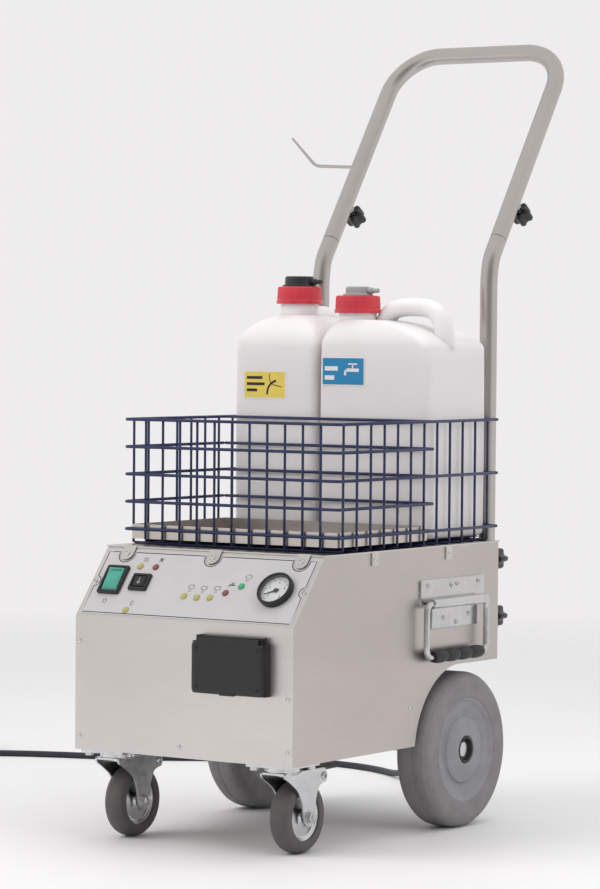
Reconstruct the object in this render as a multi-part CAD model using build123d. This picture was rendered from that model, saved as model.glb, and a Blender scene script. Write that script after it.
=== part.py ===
from build123d import *
import math
import os

# Wheeled steam cleaner.  X to the right, Y to the back, Z up, all in millimetres.
# The model is built with the body's front face at y = 0 and the floor at z = 0.
# export() then moves every piece so that the object's box is centred on the origin.

# ------------------------------------------------------------------ driving sizes
BODY_W = 358.0            # width of the sheet metal body
BODY_D = 527.0            # depth from the front face to the rear panel
WHEEL_R = 110.0           # rear wheel
CASTOR_R = 50.0           # castor wheel
CASTOR_HEAD = 25.0        # height of a castor's fork and plate above its wheel
WHEEL_HEAD = 11.0         # clear height above the rear wheels
REAR_H = 168.0            # height of the body above the rear wheels
FASCIA_H = 91.0           # height of the slope
FASCIA_D = 73.0           # depth of the slope
SHEET = 1.5               # sheet thickness
GAP = 0.3                 # running gap between curved faces of different bodies
FIT = 0.05                # radial clearance of a pin, shaft or sleeve
PRESS = 0.02              # radial clearance of a pin that is pressed in

BODY_Z0 = 2 * CASTOR_R + CASTOR_HEAD      # underside of the body, in front
REAR_Z0 = 2 * WHEEL_R + WHEEL_HEAD        # underside of the raised rear part
BODY_Z1 = REAR_Z0 + REAR_H                # top of the side panels
FASCIA_Z0 = BODY_Z1 - FASCIA_H            # where the front face turns into the slope

WHEEL_W = 50.0
WHEEL_PROUD = 8.0         # how far the rear wheel stands out of the side panel
WHEEL_BACK = 101.0        # from the rear panel to the axle
STEP_GAP = 16.0           # from the wheel to the wall where the floor steps up
AXLE_R = 10.0
ARCH_GAP = 12.0           # gap round the wheel in the side panel
HUB_RECESS_R = 20.0
HUB_RECESS = 12.0
WHEEL_Y = BODY_D - WHEEL_BACK
STEP_Y = WHEEL_Y - WHEEL_R - STEP_GAP

CASTOR_W = 30.0
CASTOR_INSET = 42.0       # from the side panel to the swivel axis
CASTOR_X = BODY_W / 2 - CASTOR_INSET
CASTOR_Y = 41.0
CASTOR_TRAIL = 35.0
CASTOR_PLATE = (70.0, 72.0, 4.0)
CHEEK = 3.0
CHEEK_GAP = 2.5
BOLT_R = 5.0

POST_INSET = 34.0         # from the side panel to a handle post
POST_BACK = 23.0          # from the rear panel to a handle post
SPIGOT_R = 11.0           # spigot of a post, inside the upper handle's tube
SLEEVE_WALL = 1.5
SLEEVE_R = SPIGOT_R + SLEEVE_WALL         # outside of the posts and of the upper handle
POST_X = BODY_W / 2 - POST_INSET
POST_Y = BODY_D + POST_BACK
POST_Z0 = REAR_Z0 + 31.0
BEND_Z = BODY_Z1 + 398.0  # height at which the post leans back
BEND_R = 118.0
LEAN = 34.5               # degrees from upright
SLEEVE_START = 45.0       # from the bend, along the leaning line
SLEEVE_OVERLAP = 90.0
HANDLE_TOP = 390.7        # from the bend to the middle of the top bar
HANDLE_R = 70.0
KNOB_R = 16.0
KNOB_H = 22.0
KNOB_NECK_R = 8.0
KNOB_NECK = 6.0
UPPER_KNOB_AT = 113.0     # from the bend, along the leaning line
REAR_KNOB_Z = (BODY_Z1 - 111.0, BODY_Z1 - 28.0)
STUD_R = 3.5
STUD_GAP = 0.8            # from the end of an upper knob's stud to the spigot
BOSS_R = 7.0
BOSS_OUT = 4.0
CLAMP_EDGE = 3.5          # wall of a post's clamp beside the post
CLAMP_HALF = 18.0

HOOK_AT = 182.0           # from the bend, along the leaning line
HOOK_R = 2.5
HOOK_OUT = 68.0
HOOK_RISE = 43.0

LID = 2.0                 # top cover
WIRE_R = 2.2              # ring wires of the basket
BAR_R = 1.8               # upright and floor wires of the basket
WELD = 0.05
BASKET_X = BODY_W / 2 - 1
BASKET_Y0 = 110.0
BASKET_Y1 = BODY_D - 2
BASKET_MID = 348.0
BASKET_CORNER = 9.0
ROW_Z0 = BODY_Z1 + 23.0
ROW_PITCH = 38.1
BAR_PITCH_X = 29.1
BAR_PITCH_Y = 34.2
BAR_END_X = 20.0          # least distance from the side wires to the last upright
BAR_END_Y = 15.0
BARS_X = 2 * int((BASKET_X - BAR_END_X) / BAR_PITCH_X) + 1
BARS_Y = int((BASKET_Y1 - BASKET_Y0 - 2 * BAR_END_Y) / BAR_PITCH_Y) + 1

TRAY_WALL = 20.0
TRAY_SHEET = 1.0
TRAY_GAP = 1.2            # from the tray to the wires round it
CAP_R = 33.0
CAP_H = 25.0
CAP_TOP_H = 15.0
CAP_WALL = 6.0
CAP_LID = 5.0
CAN_CORNER = 20.0
SHOULDER_Z = BODY_Z1 + 291.0              # top of the cans' upright walls
SHOULDER_RISE = 26.0
SHOULDER_IN = 25.0
GRIP_CORNER = 8.0

# lengths along the slope are measured up from its lower edge
SLOPE_LEN = math.hypot(FASCIA_D, BODY_Z1 - FASCIA_Z0)
SLOPE_UP = (FASCIA_D / SLOPE_LEN, (BODY_Z1 - FASCIA_Z0) / SLOPE_LEN)
SLOPE = Plane(origin=(0, 0, FASCIA_Z0), x_dir=(1, 0, 0), z_dir=(0, -SLOPE_UP[1], SLOPE_UP[0]))
OVERLAY = 0.5

SWITCH = (-142.0, 60.5, 36.0, 46.0)       # x, up the slope, width, height
RESET = (-96.5, 59.0, 30.0, 27.0)
LAMP_R = 5.0
LAMPS = [(-108.8, 85.5), (-82.8, 85.5), (-100.2, 13.0), (-15.4, 41.0), (6.2, 40.0),
         (27.5, 41.0), (49.0, 50.0), (69.8, 62.0)]
GAUGE = (129.0, 57.0)
GAUGE_R = 26.0
GAUGE_OUT = 10.0
TAB_W = 20.0
TAB_L = 13.5
TAB_XS = (-139.5, 4.5, 148.5)

SOCKET_X = (27.0, 144.0)
SOCKET_Z = (FASCIA_Z0 - 91.5, FASCIA_Z0 - 14.0)
SOCKET_D = 13.0
FLAP = 5.0

GRAB_Y = (313.0, 484.0)   # folding carry handle on each side
GRAB_T = 3.0
BAIL_Z = REAR_Z0 + 91.0
GRAB_Z = (BAIL_Z - 37.0, BAIL_Z + 33.0)
BAIL_DROP = 74.0
BAIL_R = 4.0
GRIP_R = 9.0
BAIL_OUT = 13.0           # from the side panel to the middle of the bail rod
LUG_Y = (326.0, 486.0)

CORD_D = 10.0
CORD_X = -60.0
CORD_Z = REAR_Z0 + 35.0
GLAND_L = 24.0
GLAND_NUT = 10.0
COIL_MID_R = 60.0
COIL_COLUMNS = 4
COIL_LAYERS = 4
COIL_CENTRE = (-986.0, 668.0)
CORD_ROUTE = [(-60, 551, 266), (-60, 608, 262), (-64, 678, 212), (-78, 724, 122),
              (-108, 766, 46), (-164, 822, 5), (-262, 884, 5), (-384, 898, 5), (-514, 850, 5),
              (-604, 782, 5), (-694, 739, 5), (-790, 706, 5), (-876, 660, 5), (-936, 607, 5)]

PIECES = {}


def box(x0, x1, y0, y1, z0, z1):
    """A box from its six faces."""
    size = (x1 - x0, y1 - y0, z1 - z0)
    return Pos((x0 + x1) / 2, (y0 + y1) / 2, (z0 + z1) / 2) * Box(*size)


def rod(start, end, radius, inner=0.0):
    """A round bar or tube between two points."""
    start, end = Vector(*start), Vector(*end)
    plane = Plane(origin=start, z_dir=end - start)
    bar = Solid.make_cylinder(radius, (end - start).length, plane)
    if inner:
        bar = bar - Solid.make_cylinder(inner, (end - start).length, plane)
    return bar


def plate_yz(points, x0, x1):
    """A plate whose outline lies in the YZ plane, from x0 to x1."""
    outline = make_face(Polyline(*points, close=True))
    return Pos(x0, 0, 0) * extrude(Plane.YZ * outline, amount=x1 - x0)


def turned_x(points, x_sign=1):
    """A solid turned about the X axis through the origin, from (x, radius) points."""
    outline = make_face(Polyline(*[(x_sign * x, r) for x, r in points], close=True))
    return revolve(outline, Axis.X)


def on_slope(shape):
    """Put a shape drawn flat on the sloping fascia."""
    return SLOPE.location * shape


def keep(name, *solids):
    """Name a piece: one or more separate solids."""
    found = [s for shape in solids for s in shape.solids()]
    PIECES[name] = found


def lean(x, along, out=0.0):
    """A point near the leaning handle: along its line from the bend, and out behind it."""
    a = math.radians(LEAN)
    return (x, POST_Y + along * math.sin(a) + out * math.cos(a),
            BEND_Z + along * math.cos(a) - out * math.sin(a))


# ------------------------------------------------------------------ body shell
def arch(x0, x1):
    """The cylinder that clears the rear wheel."""
    return rod((x0, WHEEL_Y, WHEEL_R), (x1, WHEEL_Y, WHEEL_R), WHEEL_R + ARCH_GAP)


def side_outline():
    """Side panel outline, inside the front sheet and the rear sheet."""
    inset = SHEET / SLOPE_UP[1]
    return [(SHEET, BODY_Z0), (SHEET, FASCIA_Z0), (FASCIA_D + inset, BODY_Z1),
            (BODY_D - SHEET, BODY_Z1), (BODY_D - SHEET, REAR_Z0), (WHEEL_Y, REAR_Z0),
            (WHEEL_Y, BODY_Z0)]


def side_panel(sign):
    outer = BODY_W / 2
    panel = plate_yz(side_outline(), outer - SHEET, outer) - arch(outer - 5, outer + 5)
    return panel if sign > 0 else mirror(panel, Plane.YZ)


def front_panel():
    """Front face and slope in one folded sheet, cut for everything that is set into it."""
    half = BODY_W / 2
    rear = SHEET / SLOPE_UP[1]
    outline = [(0, BODY_Z0), (0, FASCIA_Z0), (FASCIA_D, BODY_Z1), (FASCIA_D + rear, BODY_Z1),
               (SHEET, FASCIA_Z0), (SHEET, BODY_Z0)]
    sheet = plate_yz(outline, -half, half)
    for x, up, width, height in (SWITCH, RESET):
        sheet -= on_slope(Pos(x, up, 0) * Box(width - 5, height - 5, 12))
    for x, up in LAMPS:
        sheet -= on_slope(Pos(x, up, 0) * Cylinder(LAMP_R - 1, 12))
    sheet -= on_slope(Pos(*GAUGE, 0) * Cylinder(GAUGE_R - 2, 12))
    return sheet


def base_pan():
    """Floor of the body: low in front, a wall, and a shelf above the rear wheels."""
    half = BODY_W / 2 - SHEET
    low = box(-half, half, SHEET, STEP_Y, BODY_Z0, BODY_Z0 + SHEET)
    wall = box(-half, half, STEP_Y - SHEET, STEP_Y, BODY_Z0 + SHEET, REAR_Z0)
    shelf = box(-half, half, STEP_Y - SHEET, BODY_D - SHEET, REAR_Z0, REAR_Z0 + SHEET)
    return low + wall + shelf


def rear_panel():
    half = BODY_W / 2
    panel = box(-half, half, BODY_D - SHEET, BODY_D, REAR_Z0, BODY_Z1)
    panel -= rod((CORD_X, BODY_D - 5, CORD_Z), (CORD_X, BODY_D + 5, CORD_Z), CORD_D / 2 + 1)
    return panel


def fascia_tab(x):
    """A rounded tab of the lid that lies on the slope."""
    top = SLOPE_LEN + LID
    body = Pos(x, top - TAB_L / 2, OVERLAY + LID / 2) * Box(TAB_W, TAB_L, LID - OVERLAY)
    nose = Pos(x, top - TAB_L, OVERLAY + LID / 2) * Cylinder(TAB_W / 2, LID - OVERLAY)
    return on_slope(body + nose)


LID_TAB_Y = (197.0, 389.0)
LID_TAB_HALF = 8.0
LID_TAB_DROP = 18.0


def top_lid():
    """Flat cover with tabs that fold down over the slope and the side panels."""
    half = BODY_W / 2
    lid = box(-half - LID, half + LID, FASCIA_D - 1, BODY_D, BODY_Z1, BODY_Z1 + LID)
    for x in TAB_XS:
        lid += fascia_tab(x)
    for sign in (-1, 1):
        for y in LID_TAB_Y:
            x0, x1 = sorted((sign * half, sign * (half + LID)))
            lid += box(x0, x1, y - LID_TAB_HALF, y + LID_TAB_HALF, BODY_Z1 - LID_TAB_DROP, BODY_Z1)
    return lid


SCREW_R = 3.4
SCREW_H = 2.0
EDGE_SCREW = 6.0          # from the side panel to a screw on the slope's edge
EDGE_SCREW_UP = 58.0
FRONT_SCREWS = ((BODY_W / 2 - 7, FASCIA_Z0 - 94), (-4, BODY_Z0 + 14.5), (7 - BODY_W / 2, BODY_Z0 + 18.5),
                (6 - BODY_W / 2, FASCIA_Z0 - 34), (BODY_W / 2 - 7, BODY_Z0 + 18.5))


def screw_head(start, direction):
    """A low round screw head on a face."""
    start = Vector(*start)
    return rod(start, start + Vector(*direction) * SCREW_H, SCREW_R)


def cover_screws():
    half = BODY_W / 2
    heads = []
    for x, z in FRONT_SCREWS:
        heads.append(screw_head((x, 0, z), (0, -1, 0)))
    for sign in (-1, 1):
        heads.append(screw_head((sign * half, STEP_Y - 8, BODY_Z0 + 55), (sign, 0, 0)))
        for y in LID_TAB_Y:
            heads.append(screw_head((sign * (half + LID), y, BODY_Z1 - 10), (sign, 0, 0)))
    for x in TAB_XS:
        heads.append(on_slope(Pos(x, SLOPE_LEN - TAB_L + 3, LID + OVERLAY / 2 + 1.25)
                              * Cylinder(SCREW_R, SCREW_H)))
    for x in (-half + EDGE_SCREW, half - EDGE_SCREW):
        heads.append(on_slope(Pos(x, EDGE_SCREW_UP, SCREW_H / 2) * Cylinder(SCREW_R, SCREW_H)))
    return heads


def fascia_overlay():
    """Printed sheet on the slope, notched round the tabs and the edge screws."""
    width, low, high = BODY_W - 10, 4.5, SLOPE_LEN - 6
    sheet = Pos(0, (low + high) / 2, OVERLAY / 2) * Box(width, high - low, OVERLAY)
    for x in TAB_XS:
        notch = Pos(x, SLOPE_LEN - TAB_L / 2, 0) * Box(TAB_W + 4, TAB_L, 3)
        sheet -= notch
        sheet -= Pos(x, SLOPE_LEN + LID - TAB_L, 0) * Cylinder(TAB_W / 2 + 2, 3)
    for x in (-BODY_W / 2 + EDGE_SCREW, BODY_W / 2 - EDGE_SCREW):
        sheet -= Pos(x, EDGE_SCREW_UP, 0) * Cylinder(EDGE_SCREW, 3)
    for x, up, w, h in (SWITCH, RESET):
        sheet -= Pos(x, up, 0) * Box(w - 5, h - 5, 3)
    for x, up in LAMPS:
        sheet -= Pos(x, up, 0) * Cylinder(LAMP_R - 1, 3)
    sheet -= Pos(*GAUGE, 0) * Cylinder(GAUGE_R - 2, 3)
    return on_slope(sheet)


# ------------------------------------------------------------------ controls
BEZEL_OUT = 5.0
ROCKER_GAP = 1.0


def bezel(spec):
    """Rectangular frame with a rear box that a rocker tilts in."""
    x, up, w, h = spec
    frame = Pos(x, up, OVERLAY + BEZEL_OUT / 2) * Box(w, h, BEZEL_OUT)
    frame += Pos(x, up, -10) * Box(w - 6, h - 6, 21)
    cavity = Pos(x, up, -5) * Box(w - 9, h - 9, 60)
    return on_slope(frame - cavity)


def rocker(spec):
    """Rocker button with a rounded back, held on its cross pin."""
    x, up, w, h = spec
    width, height = w - 9 - 2 * ROCKER_GAP, h - 9 - 2 * ROCKER_GAP
    key = Pos(x, up, 2.2) * Box(width, height, 7.6)
    pin = on_slope(Pos(x, up, 0.5) * Rot(0, 90, 0) * Cylinder(1.5, w - 9 - 0.6))
    return on_slope(key) + pin


def lamp(x, up):
    """Round indicator lamp, with its body behind the sheet."""
    dome = Pos(x, up, OVERLAY + 1.5) * Cylinder(LAMP_R, 3)
    stem = Pos(x, up, -8) * Cylinder(LAMP_R - 1.3, 17.5)
    return on_slope(dome + stem)


def gauge_case():
    cup = Pos(*GAUGE, (OVERLAY + GAUGE_OUT) / 2 + OVERLAY / 2) * Cylinder(GAUGE_R, GAUGE_OUT)
    cup += Pos(*GAUGE, -10) * Cylinder(GAUGE_R - 2.5, 21.5)
    cup -= Pos(*GAUGE, OVERLAY + GAUGE_OUT - 4) * Cylinder(GAUGE_R - 3, 8.2)
    return on_slope(cup)


def gauge_needle():
    level = OVERLAY + GAUGE_OUT - 6.4
    hub = Pos(*GAUGE, level) * Cylinder(3, 2.4)
    angle = Rot(0, 0, 205)
    pointer = Pos(*GAUGE, level) * angle * Pos(7, 0, 0) * Box(20, 1.6, 0.8)
    return on_slope(hub + pointer)


def gauge_lens():
    return on_slope(Pos(*GAUGE, OVERLAY + GAUGE_OUT - 1.5) * Cylinder(GAUGE_R - 3.1, 1.5))


# ------------------------------------------------------------------ socket with a flap
SOCKET_WALL = 3.0
PIN_BACK = 4.0


def socket_box():
    """Surface box of the outlet, open in front, with two ears for the flap's pin."""
    (x0, x1), (z0, z1) = SOCKET_X, SOCKET_Z
    w = SOCKET_WALL
    shell = box(x0, x1, -SOCKET_D, 0, z0, z1 - 8)
    shell -= box(x0 + w, x1 - w, -SOCKET_D - 1, -w, z0 + w, z1 - 8 - w)
    middle_x, middle_z = (x0 + x1) / 2, (z0 + z1 - 8) / 2
    insert = rod((middle_x, -w, middle_z), (middle_x, -SOCKET_D + 2, middle_z), 24, 19)
    shell += insert
    for ear in (x0 + 6, x1 - 10):
        shell += box(ear, ear + 4, -SOCKET_D, 0, z1 - 9, z1)
    pin_y, pin_z = -SOCKET_D + PIN_BACK, z1 - PIN_BACK
    shell -= rod((x0, pin_y, pin_z), (x1, pin_y, pin_z), 1.5 + FIT)
    return shell


def socket_lid():
    """Sprung flap: a dished cover with a barrel and a pin along its top edge."""
    (x0, x1), (z0, z1) = SOCKET_X, SOCKET_Z
    front = box(x0, x1, -SOCKET_D - FLAP, -SOCKET_D - GAP, z0, z1 - 8)
    bevel = chamfer(front.edges().filter_by(Axis.Y), 5)
    pin_y, pin_z = -SOCKET_D + PIN_BACK, z1 - PIN_BACK
    barrel = rod((x0 + 10.5, pin_y, pin_z), (x1 - 10.5, pin_y, pin_z), 3.4)
    pin = rod((x0 + 6, pin_y, pin_z), (x1 - 6, pin_y, pin_z), 1.5)
    arm = box(x0 + 10.5, x1 - 10.5, -SOCKET_D - FLAP, -SOCKET_D - GAP, z1 - 14, z1 - 2)
    neck = box(x0 + 10.5, x1 - 10.5, -SOCKET_D - 1, pin_y, z1 - 5.5, z1 - 2.5)
    return bevel + arm + barrel + pin + neck


# ------------------------------------------------------------------ folding side handles
def grab_plate(sign):
    """Backing plate with two lugs that hold the bail's rod."""
    x0 = BODY_W / 2
    upper = box(x0, x0 + GRAB_T, GRAB_Y[0], GRAB_Y[1], BAIL_Z - 2, GRAB_Z[1])
    lower = box(x0, x0 + GRAB_T, GRAB_Y[0] + 30, GRAB_Y[1] - 14, GRAB_Z[0], BAIL_Z - 2)
    rail = box(x0 + GRAB_T, x0 + BAIL_OUT + 6, LUG_Y[0] + 10, LUG_Y[1] - 10, BAIL_Z - 7, BAIL_Z + 7)
    bore = rod((x0 + BAIL_OUT, 0, BAIL_Z), (x0 + BAIL_OUT, BODY_D, BAIL_Z), BAIL_R + FIT)
    plate = upper + lower + (rail - bore)
    return plate if sign > 0 else mirror(plate, Plane.YZ)


def bail(sign):
    """Bent rod: a pivot bar through the rail, two legs and the bar of the grip."""
    x = BODY_W / 2 + BAIL_OUT
    y0, y1 = LUG_Y
    low = BAIL_Z - BAIL_DROP
    path = FilletPolyline((x, (y0 + y1) / 2, low), (x, y0, low), (x, y0, BAIL_Z),
                          (x, y0 + 60, BAIL_Z), radius=7)
    half = sweep(Plane(origin=path @ 0, z_dir=path % 0) * Circle(BAIL_R), path)
    whole = half + mirror(half, Plane(origin=(0, (y0 + y1) / 2, 0), z_dir=(0, 1, 0)))
    return whole if sign > 0 else mirror(whole, Plane.YZ)


def bail_grip(sign):
    """Ribbed grip on the lower bar of the bail."""
    x = sign * (BODY_W / 2 + BAIL_OUT)
    low = BAIL_Z - BAIL_DROP
    y0, y1 = LUG_Y[0] + 16, LUG_Y[1] - 14
    grip = rod((x, y0, low), (x, y1, low), GRIP_R - 1, BAIL_R + PRESS)
    ribs = 6
    for i in range(ribs):
        middle = y0 + (i + 0.5) * (y1 - y0) / ribs
        grip += rod((x, middle - 7, low), (x, middle + 7, low), GRIP_R, BAIL_R + PRESS)
    return grip


# ------------------------------------------------------------------ rear wheels
WHEEL_X1 = BODY_W / 2 + WHEEL_PROUD
WHEEL_X0 = WHEEL_X1 - WHEEL_W
BRACKET_X = WHEEL_X0 - 22
BRACKET_T = 4.0


def rear_wheel(sign):
    """Solid tyre on a dished hub, bored for the axle."""
    bore = AXLE_R + FIT
    x0, x1 = WHEEL_X0, WHEEL_X1
    points = [(x0, bore), (x0, 30), (x0 + 6, 34), (x0 + 6, 62), (x0, 66), (x0, 98),
              (x0 + 9, WHEEL_R), (x1 - 9, WHEEL_R), (x1, 98), (x1, 68), (x1 - 4, 65), (x1 - 4, 50),
              (x1 - 9, 46), (x1 - 9, 24), (x1 - 2, HUB_RECESS_R + 1), (x1 - 2, HUB_RECESS_R),
              (x1 - HUB_RECESS, HUB_RECESS_R), (x1 - HUB_RECESS, bore)]
    return Pos(0, WHEEL_Y, WHEEL_R) * turned_x(points, sign)


def rear_axle():
    """Axle with a collar inside each wheel and a cap ring outside its hub recess."""
    reach = WHEEL_X1 - 3
    axle = rod((-reach, WHEEL_Y, WHEEL_R), (reach, WHEEL_Y, WHEEL_R), AXLE_R)
    for sign in (-1, 1):
        inner = (sign * (BRACKET_X + BRACKET_T + 0.1), WHEEL_Y, WHEEL_R)
        axle += rod(inner, (sign * (WHEEL_X0 - GAP), WHEEL_Y, WHEEL_R), AXLE_R + 5)
        cap = (sign * (WHEEL_X1 - HUB_RECESS + GAP), WHEEL_Y, WHEEL_R)
        axle += rod(cap, (sign * (WHEEL_X1 - HUB_RECESS + 4), WHEEL_Y, WHEEL_R), AXLE_R + 5)
    return axle


def axle_bracket(sign):
    """Folded bracket from the shelf down to the axle."""
    x0, x1 = BRACKET_X, BRACKET_X + BRACKET_T
    outline = [(WHEEL_Y - 55, REAR_Z0), (WHEEL_Y + 55, REAR_Z0), (WHEEL_Y + 22, WHEEL_R - 20),
               (WHEEL_Y - 22, WHEEL_R - 20)]
    web = plate_yz(outline, x0, x1)
    web += box(x0 - 36, x0 + 1, WHEEL_Y - 55, WHEEL_Y + 55, REAR_Z0 - BRACKET_T, REAR_Z0)
    web -= rod((x0 - 1, WHEEL_Y, WHEEL_R), (x1 + 1, WHEEL_Y, WHEEL_R), AXLE_R + PRESS)
    return web if sign > 0 else mirror(web, Plane.YZ)


# ------------------------------------------------------------------ castors
PLATE_Z0 = BODY_Z0 - CASTOR_PLATE[2]
RACE_Z0 = PLATE_Z0 - 7.0
CROWN_Z1 = RACE_Z0 - GAP
CROWN = 4.0
CASTOR_AXLE_Y = CASTOR_Y + CASTOR_TRAIL
KINGPIN_R = 6.0
PEDAL_Y = CASTOR_Y + 66.0
PEDAL_Z = CROWN_Z1 - 11.0
PEDAL_REACH = 66.0
PEDAL_T = 4.0


def castor_plate(x):
    """Top plate with a bearing race, its kingpin and four bolts."""
    w, d, t = CASTOR_PLATE
    plate = box(x - w / 2, x + w / 2, CASTOR_Y - d / 2, CASTOR_Y + d / 2, PLATE_Z0, BODY_Z0)
    race = rod((x, CASTOR_Y, RACE_Z0), (x, CASTOR_Y, PLATE_Z0), 24)
    kingpin = rod((x, CASTOR_Y, CROWN_Z1 - CROWN - 3), (x, CASTOR_Y, RACE_Z0), KINGPIN_R)
    whole = plate + race + kingpin
    for dx in (-w / 2 + 8, w / 2 - 8):
        for dy in (-d / 2 + 8, d / 2 - 8):
            at = (x + dx, CASTOR_Y + dy)
            whole += rod((*at, PLATE_Z0 - 5), (*at, PLATE_Z0), 5.5)
    return whole


def castor_fork(x):
    """Swivelling fork with two cheeks, and the bolt that carries the wheel."""
    inner = CASTOR_W / 2 + CHEEK_GAP
    z0 = CROWN_Z1 - CROWN
    crown = box(x - inner - CHEEK, x + inner + CHEEK, CASTOR_Y - 24, CASTOR_Y + 30, z0, CROWN_Z1)
    crown -= rod((x, CASTOR_Y, z0 - 1), (x, CASTOR_Y, CROWN_Z1 + 1), KINGPIN_R + FIT)
    outline = [(CASTOR_Y - 24, CROWN_Z1), (PEDAL_Y + 9, CROWN_Z1), (PEDAL_Y + 9, PEDAL_Z - 8),
               (CASTOR_AXLE_Y + 16, CASTOR_R + 32), (CASTOR_AXLE_Y + 12, CASTOR_R + 12),
               (CASTOR_AXLE_Y + 11, CASTOR_R - 8), (CASTOR_AXLE_Y, CASTOR_R - 12),
               (CASTOR_AXLE_Y - 11, CASTOR_R - 8), (CASTOR_AXLE_Y - 16, CASTOR_R + 8),
               (CASTOR_Y - 4, z0 - 14)]
    fork = crown
    for sign in (-1, 1):
        x0, x1 = sorted((x + sign * inner, x + sign * (inner + CHEEK)))
        fork += plate_yz(outline, x0, x1)
    reach = inner + CHEEK
    at = (CASTOR_AXLE_Y, CASTOR_R)
    fork -= rod((x - reach - 1, *at), (x + reach + 1, *at), BOLT_R + PRESS)
    fork -= rod((x - 30, PEDAL_Y, PEDAL_Z), (x + 30, PEDAL_Y, PEDAL_Z), 3 + FIT)
    bolt = rod((x - reach - 6, *at), (x + reach + 6, *at), BOLT_R)
    for sign in (-1, 1):
        bolt += rod((x + sign * (reach + 0.1), *at), (x + sign * (reach + 5), *at), 8)
    return fork, bolt


def castor_wheel(x):
    """Rubber tyre on a hub, bored for the bolt."""
    bore, half = BOLT_R + FIT, CASTOR_W / 2
    points = [(-half + 1, bore), (-half + 1, 10), (-half + 5, 12), (-half + 5, 31),
              (-half, 34), (-half, 44), (-half + 6, CASTOR_R), (half - 6, CASTOR_R), (half, 44),
              (half, 34), (half - 5, 31), (half - 5, 12), (half - 1, 10), (half - 1, bore)]
    return Pos(x, CASTOR_AXLE_Y, CASTOR_R) * turned_x(points)


def castor_pedal(x):
    """Brake pedal: a cross tube between the cheeks and a tread that reaches backwards."""
    inner = CASTOR_W / 2 + CHEEK_GAP - GAP
    tube = rod((x - inner, PEDAL_Y, PEDAL_Z), (x + inner, PEDAL_Y, PEDAL_Z), 5.5)
    pin = rod((x - inner - CHEEK, PEDAL_Y, PEDAL_Z), (x + inner + CHEEK, PEDAL_Y, PEDAL_Z), 3)
    web = box(x - 12, x + 12, PEDAL_Y - 4, PEDAL_Y + 4, PEDAL_Z, CROWN_Z1 - PEDAL_T)
    tread = box(x - 14, x + 14, PEDAL_Y - 10, PEDAL_Y + PEDAL_REACH, CROWN_Z1 - PEDAL_T, CROWN_Z1)
    return tube + pin + web + tread


# ------------------------------------------------------------------ handle
def post(sign):
    """Tube from the rear clamps up past the bend, and the spigot that stands in its end."""
    x = sign * POST_X
    end = lean(x, SLEEVE_START - GAP)
    path = FilletPolyline((x, POST_Y, POST_Z0), (x, POST_Y, BEND_Z), end, radius=BEND_R)
    tube = sweep(Plane(origin=path @ 0, z_dir=path % 0) * Circle(SLEEVE_R), path)
    for z in REAR_KNOB_Z:
        tube -= rod((x, POST_Y - 30, z), (x, POST_Y + 30, z), STUD_R + FIT)
    return tube, rod(end, lean(x, SLEEVE_START + SLEEVE_OVERLAP), SPIGOT_R)


def post_clamp(sign, z):
    """Saddle block between the rear panel and a post, drilled for the knob's stud."""
    x = sign * POST_X
    half = SLEEVE_R + CLAMP_EDGE
    block = box(x - half, x + half, BODY_D, POST_Y - 3, z - CLAMP_HALF, z + CLAMP_HALF)
    block -= rod((x, POST_Y, z - CLAMP_HALF - 2), (x, POST_Y, z + CLAMP_HALF + 2), SLEEVE_R + 2 * FIT)
    return block - rod((x, BODY_D - 1, z), (x, POST_Y, z), STUD_R + FIT)


def push_handle():
    """The U-shaped tube that sleeves over both posts."""
    ends = [lean(-POST_X, SLEEVE_START), lean(-POST_X, HANDLE_TOP), lean(POST_X, HANDLE_TOP),
            lean(POST_X, SLEEVE_START)]
    path = FilletPolyline(*ends, radius=HANDLE_R)
    ring = Circle(SLEEVE_R) - Circle(SPIGOT_R + FIT)
    tube = sweep(Plane(origin=path @ 0, z_dir=path % 0) * ring, path)
    for sign in (-1, 1):
        x = sign * POST_X
        top = lean(x, UPPER_KNOB_AT, SLEEVE_R + BOSS_OUT)
        boss = rod(lean(x, UPPER_KNOB_AT, SLEEVE_R - 2), top, BOSS_R)
        boss -= rod(lean(x, UPPER_KNOB_AT - 30), lean(x, UPPER_KNOB_AT + 30), SLEEVE_R - SLEEVE_WALL / 2)
        tube += boss
        tube -= rod(lean(x, UPPER_KNOB_AT, 5), lean(x, UPPER_KNOB_AT, 30), STUD_R + FIT)
    return tube


def star_knob(base, direction, stud):
    """Five-lobed knob with a neck; its stud reaches back from the base."""
    plane = Plane(origin=base, z_dir=direction)
    neck = Solid.make_cylinder(KNOB_NECK_R, KNOB_NECK + 1, plane)
    head = Pos(0, 0, KNOB_NECK + KNOB_H / 2) * Cylinder(KNOB_R - 4, KNOB_H)
    for i in range(5):
        turn = Rot(0, 0, 72 * i)
        head += turn * Pos(KNOB_R - 5, 0, KNOB_NECK + KNOB_H / 2) * Cylinder(5, KNOB_H)
    shank = Pos(0, 0, -stud / 2 + 0.5) * Cylinder(STUD_R, stud + 1)
    return plane.location * (head + shank) + neck


def upper_knob(sign):
    """Knob whose stud ends in the wall of the upper handle's tube."""
    x = sign * POST_X
    out = SLEEVE_R + BOSS_OUT + GAP
    base, tip = lean(x, UPPER_KNOB_AT, out), lean(x, UPPER_KNOB_AT, out + 1)
    return star_knob(base, Vector(*tip) - Vector(*base), out - SPIGOT_R - STUD_GAP)


def rear_knob(sign, z):
    """Knob whose stud runs through a post and its clamp to the rear panel."""
    base = (sign * POST_X, POST_Y + SLEEVE_R + GAP, z)
    return star_knob(base, (0, 1, 0), POST_BACK + SLEEVE_R + GAP - 1)


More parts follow.
